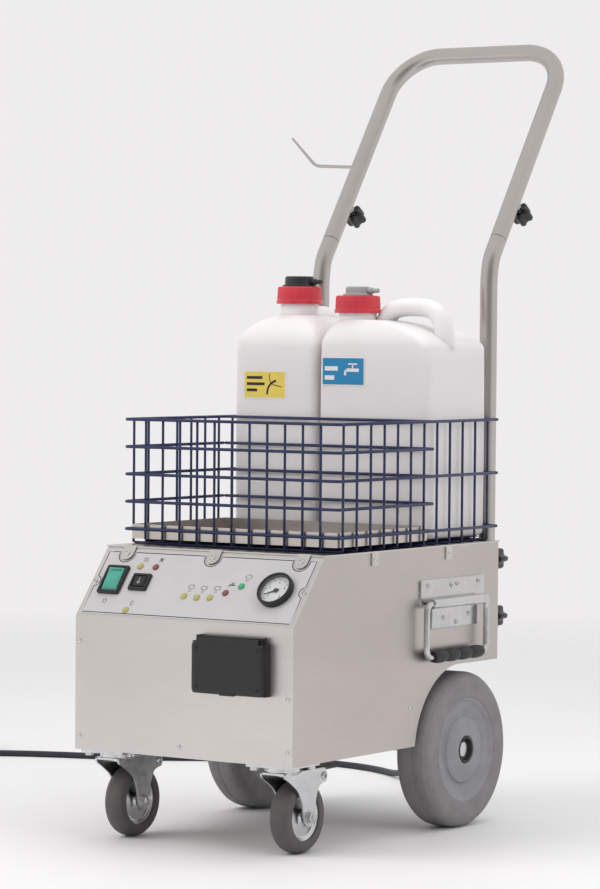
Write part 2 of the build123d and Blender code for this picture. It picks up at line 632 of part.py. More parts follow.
def hose_hook():
    """Bent wire welded to the left side of the upper handle."""
    foot = Vector(*lean(-POST_X - SLEEVE_R + 0.5, HOOK_AT))
    knee = foot + Vector(-HOOK_OUT, 0, 3)
    tip = knee + Vector(-HOOK_RISE, 0, HOOK_RISE)
    path = FilletPolyline(tuple(foot), tuple(knee), tuple(tip), radius=8)
    hook = sweep(Plane(origin=path @ 0, z_dir=path % 0) * Circle(HOOK_R), path)
    return hook - rod(lean(-POST_X, HOOK_AT - 30), lean(-POST_X, HOOK_AT + 30), SLEEVE_R + PRESS)


# ------------------------------------------------------------------ basket, tray and cans
FLOOR_Z = BODY_Z1 + LID + WELD            # underside of the basket
CROSS_Z = FLOOR_Z + BAR_R                 # middle of the cross floor wires
LONG_Z = CROSS_Z + 2 * BAR_R + WELD       # middle of the lengthwise floor wires
ROWS = [ROW_Z0 + i * ROW_PITCH for i in range(5)]
FULL_ROWS = ROWS[0::2]
HALF_ROWS = ROWS[1::2]
BARS_AT_X = [(i - (BARS_X - 1) / 2) * BAR_PITCH_X for i in range(BARS_X)]
BARS_AT_Y = [BASKET_Y0 + BAR_END_Y + i * BAR_PITCH_Y for i in range(BARS_Y)]
BAR_INSET = WIRE_R + BAR_R + WELD         # uprights stand inside the rings


def corner(x, y, z, quarter):
    """Quarter bend of a ring wire; quarter 0 is the bend between +X and +Y."""
    bend = revolve(Pos(BASKET_CORNER, 0, 0) * Plane.XZ * Circle(WIRE_R), Axis.Z, 90)
    return Pos(x, y, z) * Rot(0, 0, 90 * quarter) * bend


def cross_wires(y, rows, half):
    return [rod((-half, y, z), (half, y, z), WIRE_R) for z in rows]


def end_grille(y, inward, rows, quarters):
    """Front or rear panel: ring wires with their bends, and uprights inside them."""
    half = BASKET_X - BASKET_CORNER
    solids = cross_wires(y, rows, half)
    for z in rows:
        for x, quarter in zip((-half, half), quarters):
            solids.append(corner(x, y + inward * BASKET_CORNER, z, quarter))
    for x in BARS_AT_X:
        solids.append(rod((x, y + inward * BAR_INSET, LONG_Z + BAR_R + WELD),
                          (x, y + inward * BAR_INSET, ROWS[4]), BAR_R))
    return solids


def side_grille(sign):
    """Left or right panel: long wires, short wires to the partition, and uprights."""
    x = sign * BASKET_X
    y0 = BASKET_Y0 + BASKET_CORNER
    solids = [rod((x, y0, z), (x, BASKET_Y1 - BASKET_CORNER, z), WIRE_R) for z in FULL_ROWS]
    solids += [rod((x, y0, z), (x, BASKET_MID, z), WIRE_R) for z in HALF_ROWS]
    inner = x - sign * BAR_INSET
    for y in BARS_AT_Y:
        solids.append(rod((inner, y, CROSS_Z), (inner, y, ROWS[4]), BAR_R))
    return solids


def floor_grille():
    """Lengthwise wires laid on cross wires."""
    solids = []
    y0, y1 = BASKET_Y0 + BAR_INSET, BASKET_Y1 - BAR_INSET
    for x in BARS_AT_X:
        solids.append(rod((x, y0 - BAR_R, LONG_Z), (x, y1 + BAR_R, LONG_Z), BAR_R))
    half = BASKET_X - BAR_INSET - BAR_R - WELD
    for y in BARS_AT_Y:
        solids.append(rod((-half, y, CROSS_Z), (half, y, CROSS_Z), BAR_R))
    return solids


TRAY_Z0 = LONG_Z + BAR_R + GAP
CAN_Z0 = TRAY_Z0


def drip_tray():
    """Shallow open tray in the front half of the basket."""
    x = BASKET_X - BAR_INSET - BAR_R - TRAY_GAP
    y0, y1 = BASKET_Y0 + BAR_INSET + BAR_R + TRAY_GAP, BASKET_MID - WIRE_R - TRAY_GAP
    tray = box(-x, x, y0, y1, TRAY_Z0, TRAY_Z0 + TRAY_WALL)
    t = TRAY_SHEET
    return tray - box(-x + t, x - t, y0 + t, y1 - t, TRAY_Z0 + t, TRAY_Z0 + TRAY_WALL + t)


def can(x0, x1, y0, y1, seat, neck, grip):
    """Blow-moulded can: rounded box, sloping shoulder, neck and the block of its grip."""
    body = box(x0, x1, y0, y1, CAN_Z0, SHOULDER_Z)
    body = fillet(body.edges().filter_by(Axis.Z), CAN_CORNER)
    base = Plane(origin=((x0 + x1) / 2, (y0 + y1) / 2, SHOULDER_Z))
    lower = base * RectangleRounded(x1 - x0, y1 - y0, CAN_CORNER)
    top_w, top_d = x1 - x0 - 2 * SHOULDER_IN, y1 - y0 - 2 * SHOULDER_IN
    upper = base.offset(SHOULDER_RISE) * RectangleRounded(top_w, top_d, CAN_CORNER)
    body += loft([lower.face(), upper.face()])
    body += rod((*neck, SHOULDER_Z), (*neck, seat + CAP_H - CAP_LID - 2), CAP_R - CAP_WALL)
    block = box(*grip[:4], SHOULDER_Z - 10, grip[4])
    return body + fillet(block.edges().filter_by(Axis.Z), GRIP_CORNER)


def can_cap(neck, seat, top_r):
    """Screw cap with a smaller top."""
    ring = rod((*neck, seat), (*neck, seat + CAP_H), CAP_R)
    ring -= rod((*neck, seat - 1), (*neck, seat + CAP_H - CAP_LID), CAP_R - CAP_WALL + FIT)
    return ring + rod((*neck, seat + CAP_H), (*neck, seat + CAP_H + CAP_TOP_H), top_r)


LEFT_NECK = (-95.0, 418.0)
RIGHT_NECK = (19.0, 398.0)
LEFT_SEAT = SHOULDER_Z + 48.0
RIGHT_SEAT = SHOULDER_Z + 35.0
CAN_Y = (BASKET_MID + 5.0, BASKET_Y1 - 7.0)
LEFT_CAN_X = (12.0 - BASKET_X, -25.0)
RIGHT_CAN_X = (-21.0, BASKET_X - 13.0)
# each grip: finger hole from, to, and top of the grip
LEFT_GRIP_Z = (SHOULDER_Z - 4.0, SHOULDER_Z + 22.0, SHOULDER_Z + 38.0)
RIGHT_GRIP_Z = (SHOULDER_Z - 6.0, SHOULDER_Z + 34.0, SHOULDER_Z + 52.0)
LEFT_GRIP = (-112.0, -78.0, 456.0, 510.0)
RIGHT_GRIP = (58.0, 158.0, 398.0, 438.0)
LEFT_HOLE_Y = (464.0, 500.0)
RIGHT_HOLE_X = (64.0, 136.0)


def can_left():
    """Tall narrow can; its grip runs from front to back behind the neck."""
    z0, z1, top = LEFT_GRIP_Z
    body = can(*LEFT_CAN_X, *CAN_Y, LEFT_SEAT, LEFT_NECK, (*LEFT_GRIP, top))
    cut = box(LEFT_CAN_X[0] - 5, LEFT_CAN_X[1] + 2, *LEFT_HOLE_Y, z0, z1)
    return body - fillet(cut.edges().filter_by(Axis.X), GRIP_CORNER)


def can_right():
    """Wide can; its grip runs sideways beside the neck."""
    z0, z1, top = RIGHT_GRIP_Z
    body = can(*RIGHT_CAN_X, *CAN_Y, RIGHT_SEAT, RIGHT_NECK, (*RIGHT_GRIP, top))
    cut = box(*RIGHT_HOLE_X, CAN_Y[0] - 1.5, CAN_Y[1] + 1, z0, z1)
    return body - fillet(cut.edges().filter_by(Axis.Y), 1.5 * GRIP_CORNER)


# ------------------------------------------------------------------ inside the body
TANK_X = -60.0
TANK_Z = BODY_Z0 + 90.0
TANK_R = 62.0
TANK_Y = (110.0, STEP_Y - 10.0)
SADDLE_T = 12.0
PUMP_X = 85.0
PUMP_Z = BODY_Z0 + 50.0
PUMP_R = 34.0
MOTOR_R = 20.0
PUMP_Y = (110.0, 210.0, 260.0)


def boiler():
    """Lagged pressure vessel on two saddles, with its valve boss."""
    y0, y1 = TANK_Y
    tank = rod((TANK_X, y0, TANK_Z), (TANK_X, y1, TANK_Z), TANK_R)
    tank += rod((TANK_X, y0 + 40, TANK_Z + 55), (TANK_X, y0 + 40, TANK_Z + 90), SADDLE_T)
    for y in (y0 + 30, y1 - 40):
        tank += box(TANK_X - 40, TANK_X + 40, y, y + SADDLE_T, BODY_Z0 + SHEET, TANK_Z - 35)
    return tank


def pump():
    """Feed pump with its motor on a foot."""
    y0, y1, y2 = PUMP_Y
    unit = rod((PUMP_X, y0, PUMP_Z), (PUMP_X, y1, PUMP_Z), PUMP_R)
    unit += rod((PUMP_X, y1, PUMP_Z), (PUMP_X, y2, PUMP_Z), MOTOR_R)
    unit += box(PUMP_X - 25, PUMP_X + 25, y0 + 10, y1 - 10, BODY_Z0 + SHEET, PUMP_Z - 25)
    return unit


# ------------------------------------------------------------------ mains lead
def cord_gland():
    """Hexagonal gland on the rear panel with a bore for the lead."""
    at = Plane(origin=(CORD_X, BODY_D, CORD_Z), z_dir=(0, 1, 0))
    nut = extrude(at * RegularPolygon(14, 6), amount=GLAND_NUT)
    dome = rod((CORD_X, BODY_D + GLAND_NUT, CORD_Z), (CORD_X, BODY_D + GLAND_L, CORD_Z), 10.5)
    return nut + dome


def cord_radii(points):
    """Bend radius at each inner point: 0.45 of the shorter run over tan of half the turn."""
    radii = []
    for a, b, c in zip(points, points[1:], points[2:]):
        before, after = Vector(*b) - Vector(*a), Vector(*c) - Vector(*b)
        turn = math.radians(before.get_angle(after))
        radii.append(0.45 * min(before.length, after.length) / math.tan(turn / 2))
    return radii


def mains_cord():
    radii = cord_radii(CORD_ROUTE)
    path = FilletPolyline(*CORD_ROUTE, radius=radii)
    tube = sweep(Plane(origin=path @ 0, z_dir=path % 0) * Circle(CORD_D / 2), path)
    wanted = math.pi * (CORD_D / 2) ** 2 * path.length
    print("cord radii", [round(r) for r in radii])
    print("cord length", round(path.length, 1), "volume ratio", round(tube.volume / wanted, 5))
    return tube


def cord_coil():
    """Outer shape of the neat coil that the rest of the lead is wound into."""
    x, y = COIL_CENTRE
    half = COIL_COLUMNS * CORD_D / 2
    return rod((x, y, 0), (x, y, COIL_LAYERS * CORD_D), COIL_MID_R + half, COIL_MID_R - half)


PLUG_AT = (-1046.0, 599.0)                # middle of the plug's rear face
PLUG_HALF = 19.0
PLUG_L = 40.0
PLUG_CORNER = 8.0
PLUG_PIN_R = 2.4
PLUG_PIN_L = 19.0
PLUG_PINS = 19.0          # between the two pins' middles


def mains_plug():
    """Mains plug that lies on the floor against the coil."""
    x, y = PLUG_AT
    body = box(x - PLUG_L, x, y - PLUG_HALF, y + PLUG_HALF, 0, 2 * PLUG_HALF)
    body = fillet(body.edges().filter_by(Axis.X), PLUG_CORNER)
    for side in (-PLUG_PINS / 2, PLUG_PINS / 2):
        tip = (x - PLUG_L - PLUG_PIN_L, y + side, PLUG_HALF)
        body += rod(tip, (x - PLUG_L + 1, y + side, PLUG_HALF), PLUG_PIN_R)
    return body


# ------------------------------------------------------------------ assembly
def build():
    keep("base_pan", base_pan())
    keep("front_panel", front_panel())
    keep("side_panel_left", side_panel(-1))
    keep("side_panel_right", side_panel(1))
    keep("rear_panel", rear_panel())
    keep("top_lid", top_lid())
    keep("fascia_overlay", fascia_overlay())
    keep("cover_screws", *cover_screws())
    keep("boiler", boiler())
    keep("feed_pump", pump())
    keep("switch_bezels", bezel(SWITCH), bezel(RESET))
    keep("power_rocker", rocker(SWITCH))
    keep("reset_rocker", rocker(RESET))
    keep("indicator_lamps", *[lamp(x, up) for x, up in LAMPS])
    keep("gauge_case", gauge_case())
    keep("gauge_needle", gauge_needle())
    keep("gauge_lens", gauge_lens())
    keep("socket_box", socket_box())
    keep("socket_lid", socket_lid())
    keep("side_handle_plates", grab_plate(-1), grab_plate(1))
    for sign, side in ((-1, "left"), (1, "right")):
        keep("side_bail_" + side, bail(sign))
        keep("bail_grip_" + side, bail_grip(sign))
        keep("rear_wheel_" + side, rear_wheel(sign))
        keep("castor_fork_" + side, *castor_fork(sign * CASTOR_X))
        keep("castor_wheel_" + side, castor_wheel(sign * CASTOR_X))
        keep("castor_pedal_" + side, castor_pedal(sign * CASTOR_X))
        keep("upper_knob_" + side, upper_knob(sign))
        keep("rear_knob_low_" + side, rear_knob(sign, REAR_KNOB_Z[0]))
        keep("rear_knob_high_" + side, rear_knob(sign, REAR_KNOB_Z[1]))
    keep("castor_plates", castor_plate(-CASTOR_X), castor_plate(CASTOR_X))
    keep("rear_axle", rear_axle())
    keep("axle_brackets", axle_bracket(-1), axle_bracket(1))
    keep("handle_posts", *post(-1), *post(1))
    keep("post_clamps", *[post_clamp(s, z) for s in (-1, 1) for z in REAR_KNOB_Z])
    keep("push_handle", push_handle())
    keep("hose_hook", hose_hook())
    keep("basket_front", *end_grille(BASKET_Y0, 1, ROWS, (2, 3)))
    keep("basket_rear", *end_grille(BASKET_Y1, -1, FULL_ROWS, (1, 0)))
    keep("basket_left", *side_grille(-1))
    keep("basket_right", *side_grille(1))
    partition_half = BASKET_X - WIRE_R - WELD
    keep("basket_partition", *cross_wires(BASKET_MID, ROWS, partition_half))
    keep("basket_floor", *floor_grille())
    keep("drip_tray", drip_tray())
    keep("detergent_can", can_left())
    keep("water_can", can_right())
    keep("detergent_cap", can_cap(LEFT_NECK, LEFT_SEAT, 23))
    keep("water_cap", can_cap(RIGHT_NECK, RIGHT_SEAT, 18))
    keep("cord_gland", cord_gland())
    keep("mains_cord", mains_cord())
    keep("cord_coil", cord_coil())
    keep("mains_plug", mains_plug())


CORD_NODES = ("cord_gland", "mains_cord", "cord_coil", "mains_plug")


def export():
    """Centre the object over the origin, without its lead, and write each piece."""
    os.makedirs("parts", exist_ok=True)
    boxes = [s.bounding_box() for name, solids in PIECES.items() if name not in CORD_NODES
             for s in solids]
    low = [min(getattr(b.min, axis) for b in boxes) for axis in "XYZ"]
    high = [max(getattr(b.max, axis) for b in boxes) for axis in "XYZ"]
    shift = (-(low[0] + high[0]) / 2, -(low[1] + high[1]) / 2, -low[2])
    print("shift", [round(v, 4) for v in shift])
    print("size", [round(h - l, 2) for l, h in zip(low, high)])
    for name, solids in PIECES.items():
        moved = [Pos(*shift) * s for s in solids]
        export_step(moved[0] if len(moved) == 1 else Compound(children=moved),
                    os.path.join("parts", name + ".step"))


build()
export()
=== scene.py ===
"""Looks of a wheeled steam cleaner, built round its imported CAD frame.

The classes measure in millimetres, as a fitter would: X to the right from the middle of the front
face, Y back from that face and Z up from the floor.  Place turns those into the frame's metres.
"""
import logging
import math
from dataclasses import dataclass, field
from enum import Enum

import bmesh
import bpy
import numpy as np
from mathutils import Matrix, Vector


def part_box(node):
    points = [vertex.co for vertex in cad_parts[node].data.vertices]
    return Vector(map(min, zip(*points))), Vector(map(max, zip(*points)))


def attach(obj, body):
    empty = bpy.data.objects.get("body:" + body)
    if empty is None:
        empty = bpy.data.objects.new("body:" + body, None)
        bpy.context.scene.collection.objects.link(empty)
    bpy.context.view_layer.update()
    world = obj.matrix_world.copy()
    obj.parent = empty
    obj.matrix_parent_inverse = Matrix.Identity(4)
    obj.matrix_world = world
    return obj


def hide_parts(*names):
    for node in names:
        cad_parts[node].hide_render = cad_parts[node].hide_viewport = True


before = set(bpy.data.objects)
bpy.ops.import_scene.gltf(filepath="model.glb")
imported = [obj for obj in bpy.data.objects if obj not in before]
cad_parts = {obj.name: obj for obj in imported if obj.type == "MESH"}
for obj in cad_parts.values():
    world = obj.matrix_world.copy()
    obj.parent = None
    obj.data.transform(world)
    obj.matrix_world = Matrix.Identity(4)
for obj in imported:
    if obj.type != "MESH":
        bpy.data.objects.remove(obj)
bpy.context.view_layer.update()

log = logging.getLogger("steam_cleaner")

MM = 0.001
MERGE = 2e-6              # points closer than this many metres become one
INK = 0.08                # thickness of a printed line, in millimetres
FRONT_LOW, FRONT_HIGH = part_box("front_panel")
DATUM = np.array([(FRONT_LOW.x + FRONT_HIGH.x) / 2, FRONT_LOW.y, 0.0])
Triple = tuple[float, float, float]
SIDES = ((-1, "left"), (1, "right"))


# ---------------------------------------------------------------- places and surfaces
@dataclass(frozen=True)
class Place:
    """A spot on the machine with its own three axes."""

    origin: Triple = (0.0, 0.0, 0.0)
    x: Triple = (1.0, 0.0, 0.0)
    y: Triple = (0.0, 1.0, 0.0)
    z: Triple = (0.0, 0.0, 1.0)

    def local(self, points: np.ndarray) -> np.ndarray:
        """Points on these axes, as machine millimetres."""
        return np.asarray(points, float) @ np.array([self.x, self.y, self.z], float) + self.origin

    def world(self, points: np.ndarray) -> np.ndarray:
        """Points on these axes, as metres of the frame."""
        return self.local(points) * MM + DATUM

    def at(self, x: float, y: float, z: float = 0.0) -> "Place":
        """The same axes at another spot, given on these axes."""
        return Place(tuple(self.local((x, y, z))), self.x, self.y, self.z)


SLOPE_RUN, SLOPE_RISE, SLOPE_FOOT_Z = 73.0, 91.0, 308.0
SLOPE_LENGTH = math.hypot(SLOPE_RUN, SLOPE_RISE)
SLOPE_DIR = (0.0, SLOPE_RUN / SLOPE_LENGTH, SLOPE_RISE / SLOPE_LENGTH)
SLOPE = Place((0, 0, SLOPE_FOOT_Z), (1, 0, 0), SLOPE_DIR, (0, -SLOPE_DIR[2], SLOPE_DIR[1]))
TAB_X = (-139.5, 4.5, 148.5)
TAB_NOSE_UP = SLOPE_LENGTH - 11.5       # centre of each tab's round nose, up the slope
MACHINE = Place()


def facing(origin: Triple, side: int) -> Place:
    """Axes whose Z points out of the left (-1) or right (1) side."""
    return Place(origin, (0, float(side), 0), (0, 0, 1), (float(side), 0, 0))


class Shape:
    """Points and faces of one or more closed surfaces."""

    def __init__(self, points: np.ndarray, faces: list[list[int]]) -> None:
        self.points = np.asarray(points, float).reshape(-1, 3)
        self.faces = faces

    def __add__(self, other: "Shape") -> "Shape":
        """Both shapes as one."""
        start = len(self.points)
        moved = [[i + start for i in face] for face in other.faces]
        return Shape(np.vstack([self.points, other.points]), self.faces + moved)

    def on(self, place: Place) -> "Shape":
        """The shape put on a place, still in machine millimetres."""
        return Shape(place.local(self.points), self.faces)


def unit(vectors: np.ndarray) -> np.ndarray:
    """Vectors along the last axis, each brought to a length of 1."""
    return vectors / np.linalg.norm(vectors, axis=-1, keepdims=True)


def lifted(outline: np.ndarray, height: float) -> np.ndarray:
    """An outline in XY, raised to a height."""
    return np.column_stack([outline, np.full(len(outline), height)])


def joined(shapes: list[Shape]) -> Shape:
    """Several shapes as one."""
    whole = shapes[0]
    for shape in shapes[1:]:
        whole = whole + shape
    return whole


def net(points: np.ndarray, wrap_u: bool = False, wrap_v: bool = True, caps: bool = True) -> Shape:
    """Quads over an n by m net of points.

    Args:
        points: array (n, m, 3).
        wrap_u: joins the last row to the first.
        wrap_v: joins the last column to the first.
        caps: closes the first and last rows with one face each, if the rows are not joined.

    Returns:
        The shape.
    """
    n, m = points.shape[:2]
    index = np.arange(n * m).reshape(n, m)
    first, last = index[0].tolist(), index[-1].tolist()
    if wrap_u:
        index = np.vstack([index, index[:1]])
    if wrap_v:
        index = np.hstack([index, index[:, :1]])
    corners = [index[:-1, :-1], index[1:, :-1], index[1:, 1:], index[:-1, 1:]]
    faces = np.stack(corners, -1).reshape(-1, 4).tolist()
    if caps and not wrap_u:
        faces += [first[::-1], last]
    return Shape(points, faces)


def soften(points: object, radius: float, steps: int = 6, closed: bool = False) -> np.ndarray:
    """A line with each corner replaced by a parabola that leaves both its edges smoothly.

    Each corner P with neighbours A and B becomes (1-t)^2 P0 + 2t(1-t) P + t^2 P1, where P0 and P1
    lie on the edges at the given distance from P, or at most at 0.48 of an edge.

    Args:
        points: the corners, in two or three dimensions.
        radius: distance from a corner at which its bend starts.
        steps: points along each bend.
        closed: whether the last corner joins the first.

    Returns:
        The points of the softened line.
    """
    line = np.asarray(points, float)
    mid = line if closed else line[1:-1]
    before = np.roll(line, 1, 0) if closed else line[:-2]
    after = np.roll(line, -1, 0) if closed else line[2:]
    back, ahead = before - mid, after - mid
    back_length = np.linalg.norm(back, axis=1, keepdims=True)
    ahead_length = np.linalg.norm(ahead, axis=1, keepdims=True)
    start = mid + back * np.minimum(radius / back_length, 0.48)
    end = mid + ahead * np.minimum(radius / ahead_length, 0.48)
    t = np.linspace(0, 1, steps)[None, :, None]
    bends = (1 - t) ** 2 * start[:, None] + 2 * t * (1 - t) * mid[:, None] + t**2 * end[:, None]
    bends = bends.reshape(-1, line.shape[1])
    return bends if closed else np.vstack([line[:1], bends, line[-1:]])


def ringed(radii: np.ndarray, heights: np.ndarray, closed: bool = False) -> Shape:
    """Rings round Z, with one radius for each height and angle: x = r cos a, y = r sin a."""
    angle = np.linspace(0, 2 * np.pi, radii.shape[1], endpoint=False)
    level = np.broadcast_to(heights[:, None], radii.shape)
    return net(np.stack([radii * np.cos(angle), radii * np.sin(angle), level], -1), wrap_u=closed)


def turned(profile: object, sides: int = 64, closed: bool = False) -> Shape:
    """A profile of (radius, height) points carried round Z."""
    radius, height = np.asarray(profile, float).T
    return ringed(np.repeat(radius[:, None], sides, 1), height, closed)


def spun(corners: object, bend: float, sides: int = 32, steps: int = 6, closed: bool = False) -> Shape:
    """A profile of (radius, height) corners, softened and then carried round Z."""
    return turned(soften(corners, bend, steps, closed), sides, closed)


def tube(path: np.ndarray, radius: object, up: Triple, sides: int = 20, flat: float = 1.0) -> Shape:
    """A round or oval section carried along a path that never runs along up.

    Args:
        path: array (n, 3).
        radius: one radius, or one for each point.
        up: a direction across the path, the normal of its plane where it has one.
        sides: points round the section.
        flat: the section's size along up as a share of its size across.

    Returns:
        The shape, with flat ends.
    """
    tangent = unit(np.gradient(path, axis=0))
    across = unit(np.cross(np.asarray(up, float), tangent))
    over = np.cross(tangent, across)
    angle = np.linspace(0, 2 * np.pi, sides, endpoint=False)[None, :, None]
    reach = np.broadcast_to(np.asarray(radius, float), len(path))[:, None, None]
    ring = np.cos(angle) * across[:, None] + flat * np.sin(angle) * over[:, None]
    return net(path[:, None] + reach * ring)


def rods(starts: object, ends: object, radius: float, sides: int = 12) -> Shape:
    """Round bars between pairs of points, with rounded-off ends, all worked out at once."""
    starts, ends = np.atleast_2d(starts).astype(float), np.atleast_2d(ends).astype(float)
    axis = ends - starts
    length = np.linalg.norm(axis, axis=1, keepdims=True)
    axis /= length
    helper = np.where(np.abs(axis[:, 2:]) > 0.9, [[1.0, 0, 0]], [[0, 0, 1.0]])
    across = unit(np.cross(helper, axis))
    over = np.cross(axis, across)
    angle = np.linspace(0, 2 * np.pi, sides, endpoint=False)
    angle = angle[None, :, None]
    ring = np.cos(angle) * across[:, None] + np.sin(angle) * over[:, None]
    tip, rounding = 0.6 * radius, 0.4 * radius
    size = np.array([tip, radius, radius, tip])[None, :, None, None]
    along = np.stack([0 * length, 0 * length + rounding, length - rounding, length], 1)
    centres = starts[:, None, None] + along[..., None] * axis[:, None, None]
    return joined([net(bar) for bar in centres + size * ring[:, None]])


def loft(levels: object, corner_steps: int = 8, closed: bool = False) -> Shape:
    """Rounded rectangles stacked up Z.

    Each level is (x, y, half width, half depth, corner radius, z), and a point of it is the centre
    plus or minus (half size - radius) plus radius times the direction of its angle.

    Args:
        levels: the levels, from one end of the stack to the other.
        corner_steps: points on each corner.
        closed: joins the last level to the first, for a frame with a hole.

    Returns:
        The shape.
    """
    x, y, half_x, half_y, radius, z = (c[:, None] for c in np.asarray(levels, float).T)
    quarter = np.linspace(0, np.pi / 2, corner_steps)
    angle = (quarter + np.pi / 2 * np.arange(4)[:, None]).ravel()[None]
    sign_x = np.repeat([1, -1, -1, 1], corner_steps)[None]
    sign_y = np.repeat([1, 1, -1, -1], corner_steps)[None]
    px = x + sign_x * (half_x - radius) + radius * np.cos(angle)
    py = y + sign_y * (half_y - radius) + radius * np.sin(angle)
    return net(np.stack([px, py, np.broadcast_to(z, px.shape)], -1), wrap_u=closed)


def slab(outline: np.ndarray, low: float, high: float) -> Shape:
    """A flat plate of any outline in XY, from low to high along Z."""
    return net(np.stack([lifted(outline, z) for z in (low, high)]))


def stroke(line: object, width: float, lift: float = 0.0, closed: bool = False) -> Shape:
    """A drawn line in XY as a thin flat ribbon.

    The ribbon's edges are the line plus and minus half the width along its normal, at the lift and
    INK above it.

    Args:
        line: the line's points.
        width: the drawn width.
        lift: height of its underside.
        closed: whether the line closes on itself.

    Returns:
        The shape.
    """
    line = np.asarray(line, float)
    if closed:
        tangent = np.roll(line, -1, 0) - np.roll(line, 1, 0)
    else:
        tangent = np.gradient(line, axis=0)
    normal = unit(tangent)[:, ::-1] * (-width / 2, width / 2)
    corners = ((1, 0.0), (-1, 0.0), (-1, INK), (1, INK))
    rows = [lifted(line + sign * normal, lift + height) for sign, height in corners]
    return net(np.stack(rows, 1), wrap_u=closed)


def arc(centre: tuple[float, float], radius: float, start: float, end: float,
        steps: int = 16) -> np.ndarray:
    """Points of a circle's arc from one angle to another, in degrees."""
    angle = np.radians(np.linspace(start, end, steps))
    return np.column_stack([np.cos(angle), np.sin(angle)]) * radius + centre


# ---------------------------------------------------------------- shader maths
class Signal:
    """A shader socket that takes part in Python arithmetic."""

    def __init__(self, graph: "Graph", socket: bpy.types.NodeSocket) -> None:
        self.graph = graph
        self.socket = socket

    def maths(self, operation: str, first: object, second: object) -> "Signal":
        """One Math node."""
        return self.graph.node("ShaderNodeMath", {0: first, 1: second}, operation=operation)

    def __add__(self, other: object) -> "Signal":
        """Sum."""
        return self.maths("ADD", self, other)

    def __radd__(self, other: object) -> "Signal":
        """Sum, reflected."""
        return self.maths("ADD", other, self)

    def __sub__(self, other: object) -> "Signal":
        """Difference."""
        return self.maths("SUBTRACT", self, other)

    def __rsub__(self, other: object) -> "Signal":
        """Difference, reflected."""
        return self.maths("SUBTRACT", other, self)

    def __mul__(self, other: object) -> "Signal":
        """Product."""
        return self.maths("MULTIPLY", self, other)

    def __rmul__(self, other: object) -> "Signal":
        """Product, reflected."""
        return self.maths("MULTIPLY", other, self)

    def __pow__(self, other: object) -> "Signal":
        """Power."""
        return self.maths("POWER", self, other)


class Graph:
    """A material's node tree, filled by one method."""

    def __init__(self, name: str, tree: bpy.types.NodeTree | None = None) -> None:
        if tree is None:
            self.material = bpy.data.materials.new(name)
            self.material.use_nodes = True
            tree = self.material.node_tree
        self.tree = tree
        self.tree.nodes.clear()

    def node(self, kind: str, inputs: dict | None = None, output: int | str = 0,
             **settings: object) -> Signal | None:
        """Adds a node.

        Args:
            kind: the node's type.
            inputs: values or signals for its sockets, by index or name.
            output: the socket that is returned.
            settings: the node's own settings, set first; "ramp" gives a colour ramp's stops.

        Returns:
            The chosen output as a signal, or None for a node without outputs.
        """
        node = self.tree.nodes.new(kind)
        for key, value in settings.items():
            if key == "ramp":
                self._stops(node.color_ramp, value)
            else:
                setattr(node, key, value)
        for key, value in (inputs or {}).items():
            if isinstance(value, Signal):
                self.tree.links.new(value.socket, node.inputs[key])
            else:
                node.inputs[key].default_value = value
        return Signal(self, node.outputs[output]) if len(node.outputs) else None

    def _stops(self, ramp: bpy.types.ColorRamp, stops: list[tuple[float, float]]) -> None:
        """Grey stops of a colour ramp."""
        while len(ramp.elements) < len(stops):
            ramp.elements.new(0.5)
        for element, (position, level) in zip(ramp.elements, stops):
            element.position = position
            element.color = (level, level, level, 1)

    def spot(self) -> Signal:
        """Object coordinates, in metres."""
        return self.node("ShaderNodeTexCoord", output="Object")

    def height(self) -> Signal:
        """Height above the floor, in metres."""
        return self.node("ShaderNodeSeparateXYZ", {0: self.spot()}, "Z")

    def noise(self, scale: float | Triple, detail: float = 3.0, roughness: float = 0.5) -> Signal:
        """Noise from 0 to 1, over object coordinates times one scale or one for each axis."""
        spread = scale if isinstance(scale, tuple) else (scale,) * 3
        where = self.node("ShaderNodeMapping", {"Vector": self.spot(), "Scale": spread})
        values = {"Vector": where, "Scale": 1.0, "Detail": detail, "Roughness": roughness}
        return self.node("ShaderNodeTexNoise", values)

    def ramp(self, value: Signal, stops: list[tuple[float, float]]) -> Signal:
        """A grey ramp."""
        return self.node("ShaderNodeValToRGB", {0: value}, ramp=stops)

    def blend(self, factor: object, first: object, second: object) -> Signal:
        """Colour between first and second."""
        inputs = {0: factor, 6: rgba(first), 7: rgba(second)}
        return self.node("ShaderNodeMix", inputs, 2, data_type="RGBA")

    def mottled(self, level: Signal, ends: tuple[float, float], colour: Triple, spread: float) -> Signal:
        """A colour from darker to lighter by a share, as a level runs from one end to the other."""
        mix = self.ramp(level, [(ends[0], 0), (ends[1], 1)])
        return self.blend(mix, shade(colour, 1 - spread), shade(colour, 1 + spread))

    def bump(self, height: Signal, distance: float, strength: float) -> Signal:
        """Normals from a height, with the distance in metres."""
        return self.node("ShaderNodeBump", {"Height": height, "Distance": distance, "Strength": strength})

    def principled(self, values: dict) -> Signal:
        """A Principled shader with these values."""
        return self.node("ShaderNodeBsdfPrincipled", values)

    def mix(self, factor: Signal, first: Signal, second: Signal) -> Signal:
        """A shader between first and second."""
        return self.node("ShaderNodeMixShader", {0: factor, 1: first, 2: second})

    def background(self, colour: Triple, strength: object = 1.0) -> Signal:
        """A world shader of one colour."""
        return self.node("ShaderNodeBackground", {0: rgba(colour), 1: strength})

    def finish(self, shader: Signal) -> bpy.types.Material:
        """Connects the shader to the output and returns the material."""
        self.node("ShaderNodeOutputMaterial", {"Surface": shader})
        return self.material


def rgba(colour: object) -> object:
    """A colour with its alpha, or a signal as it is."""
    return colour if isinstance(colour, Signal) else (*colour, 1.0)


def shade(colour: Triple, factor: float) -> Triple:
    """A colour made lighter or darker."""
    return tuple(min(1.0, c * factor) for c in colour)


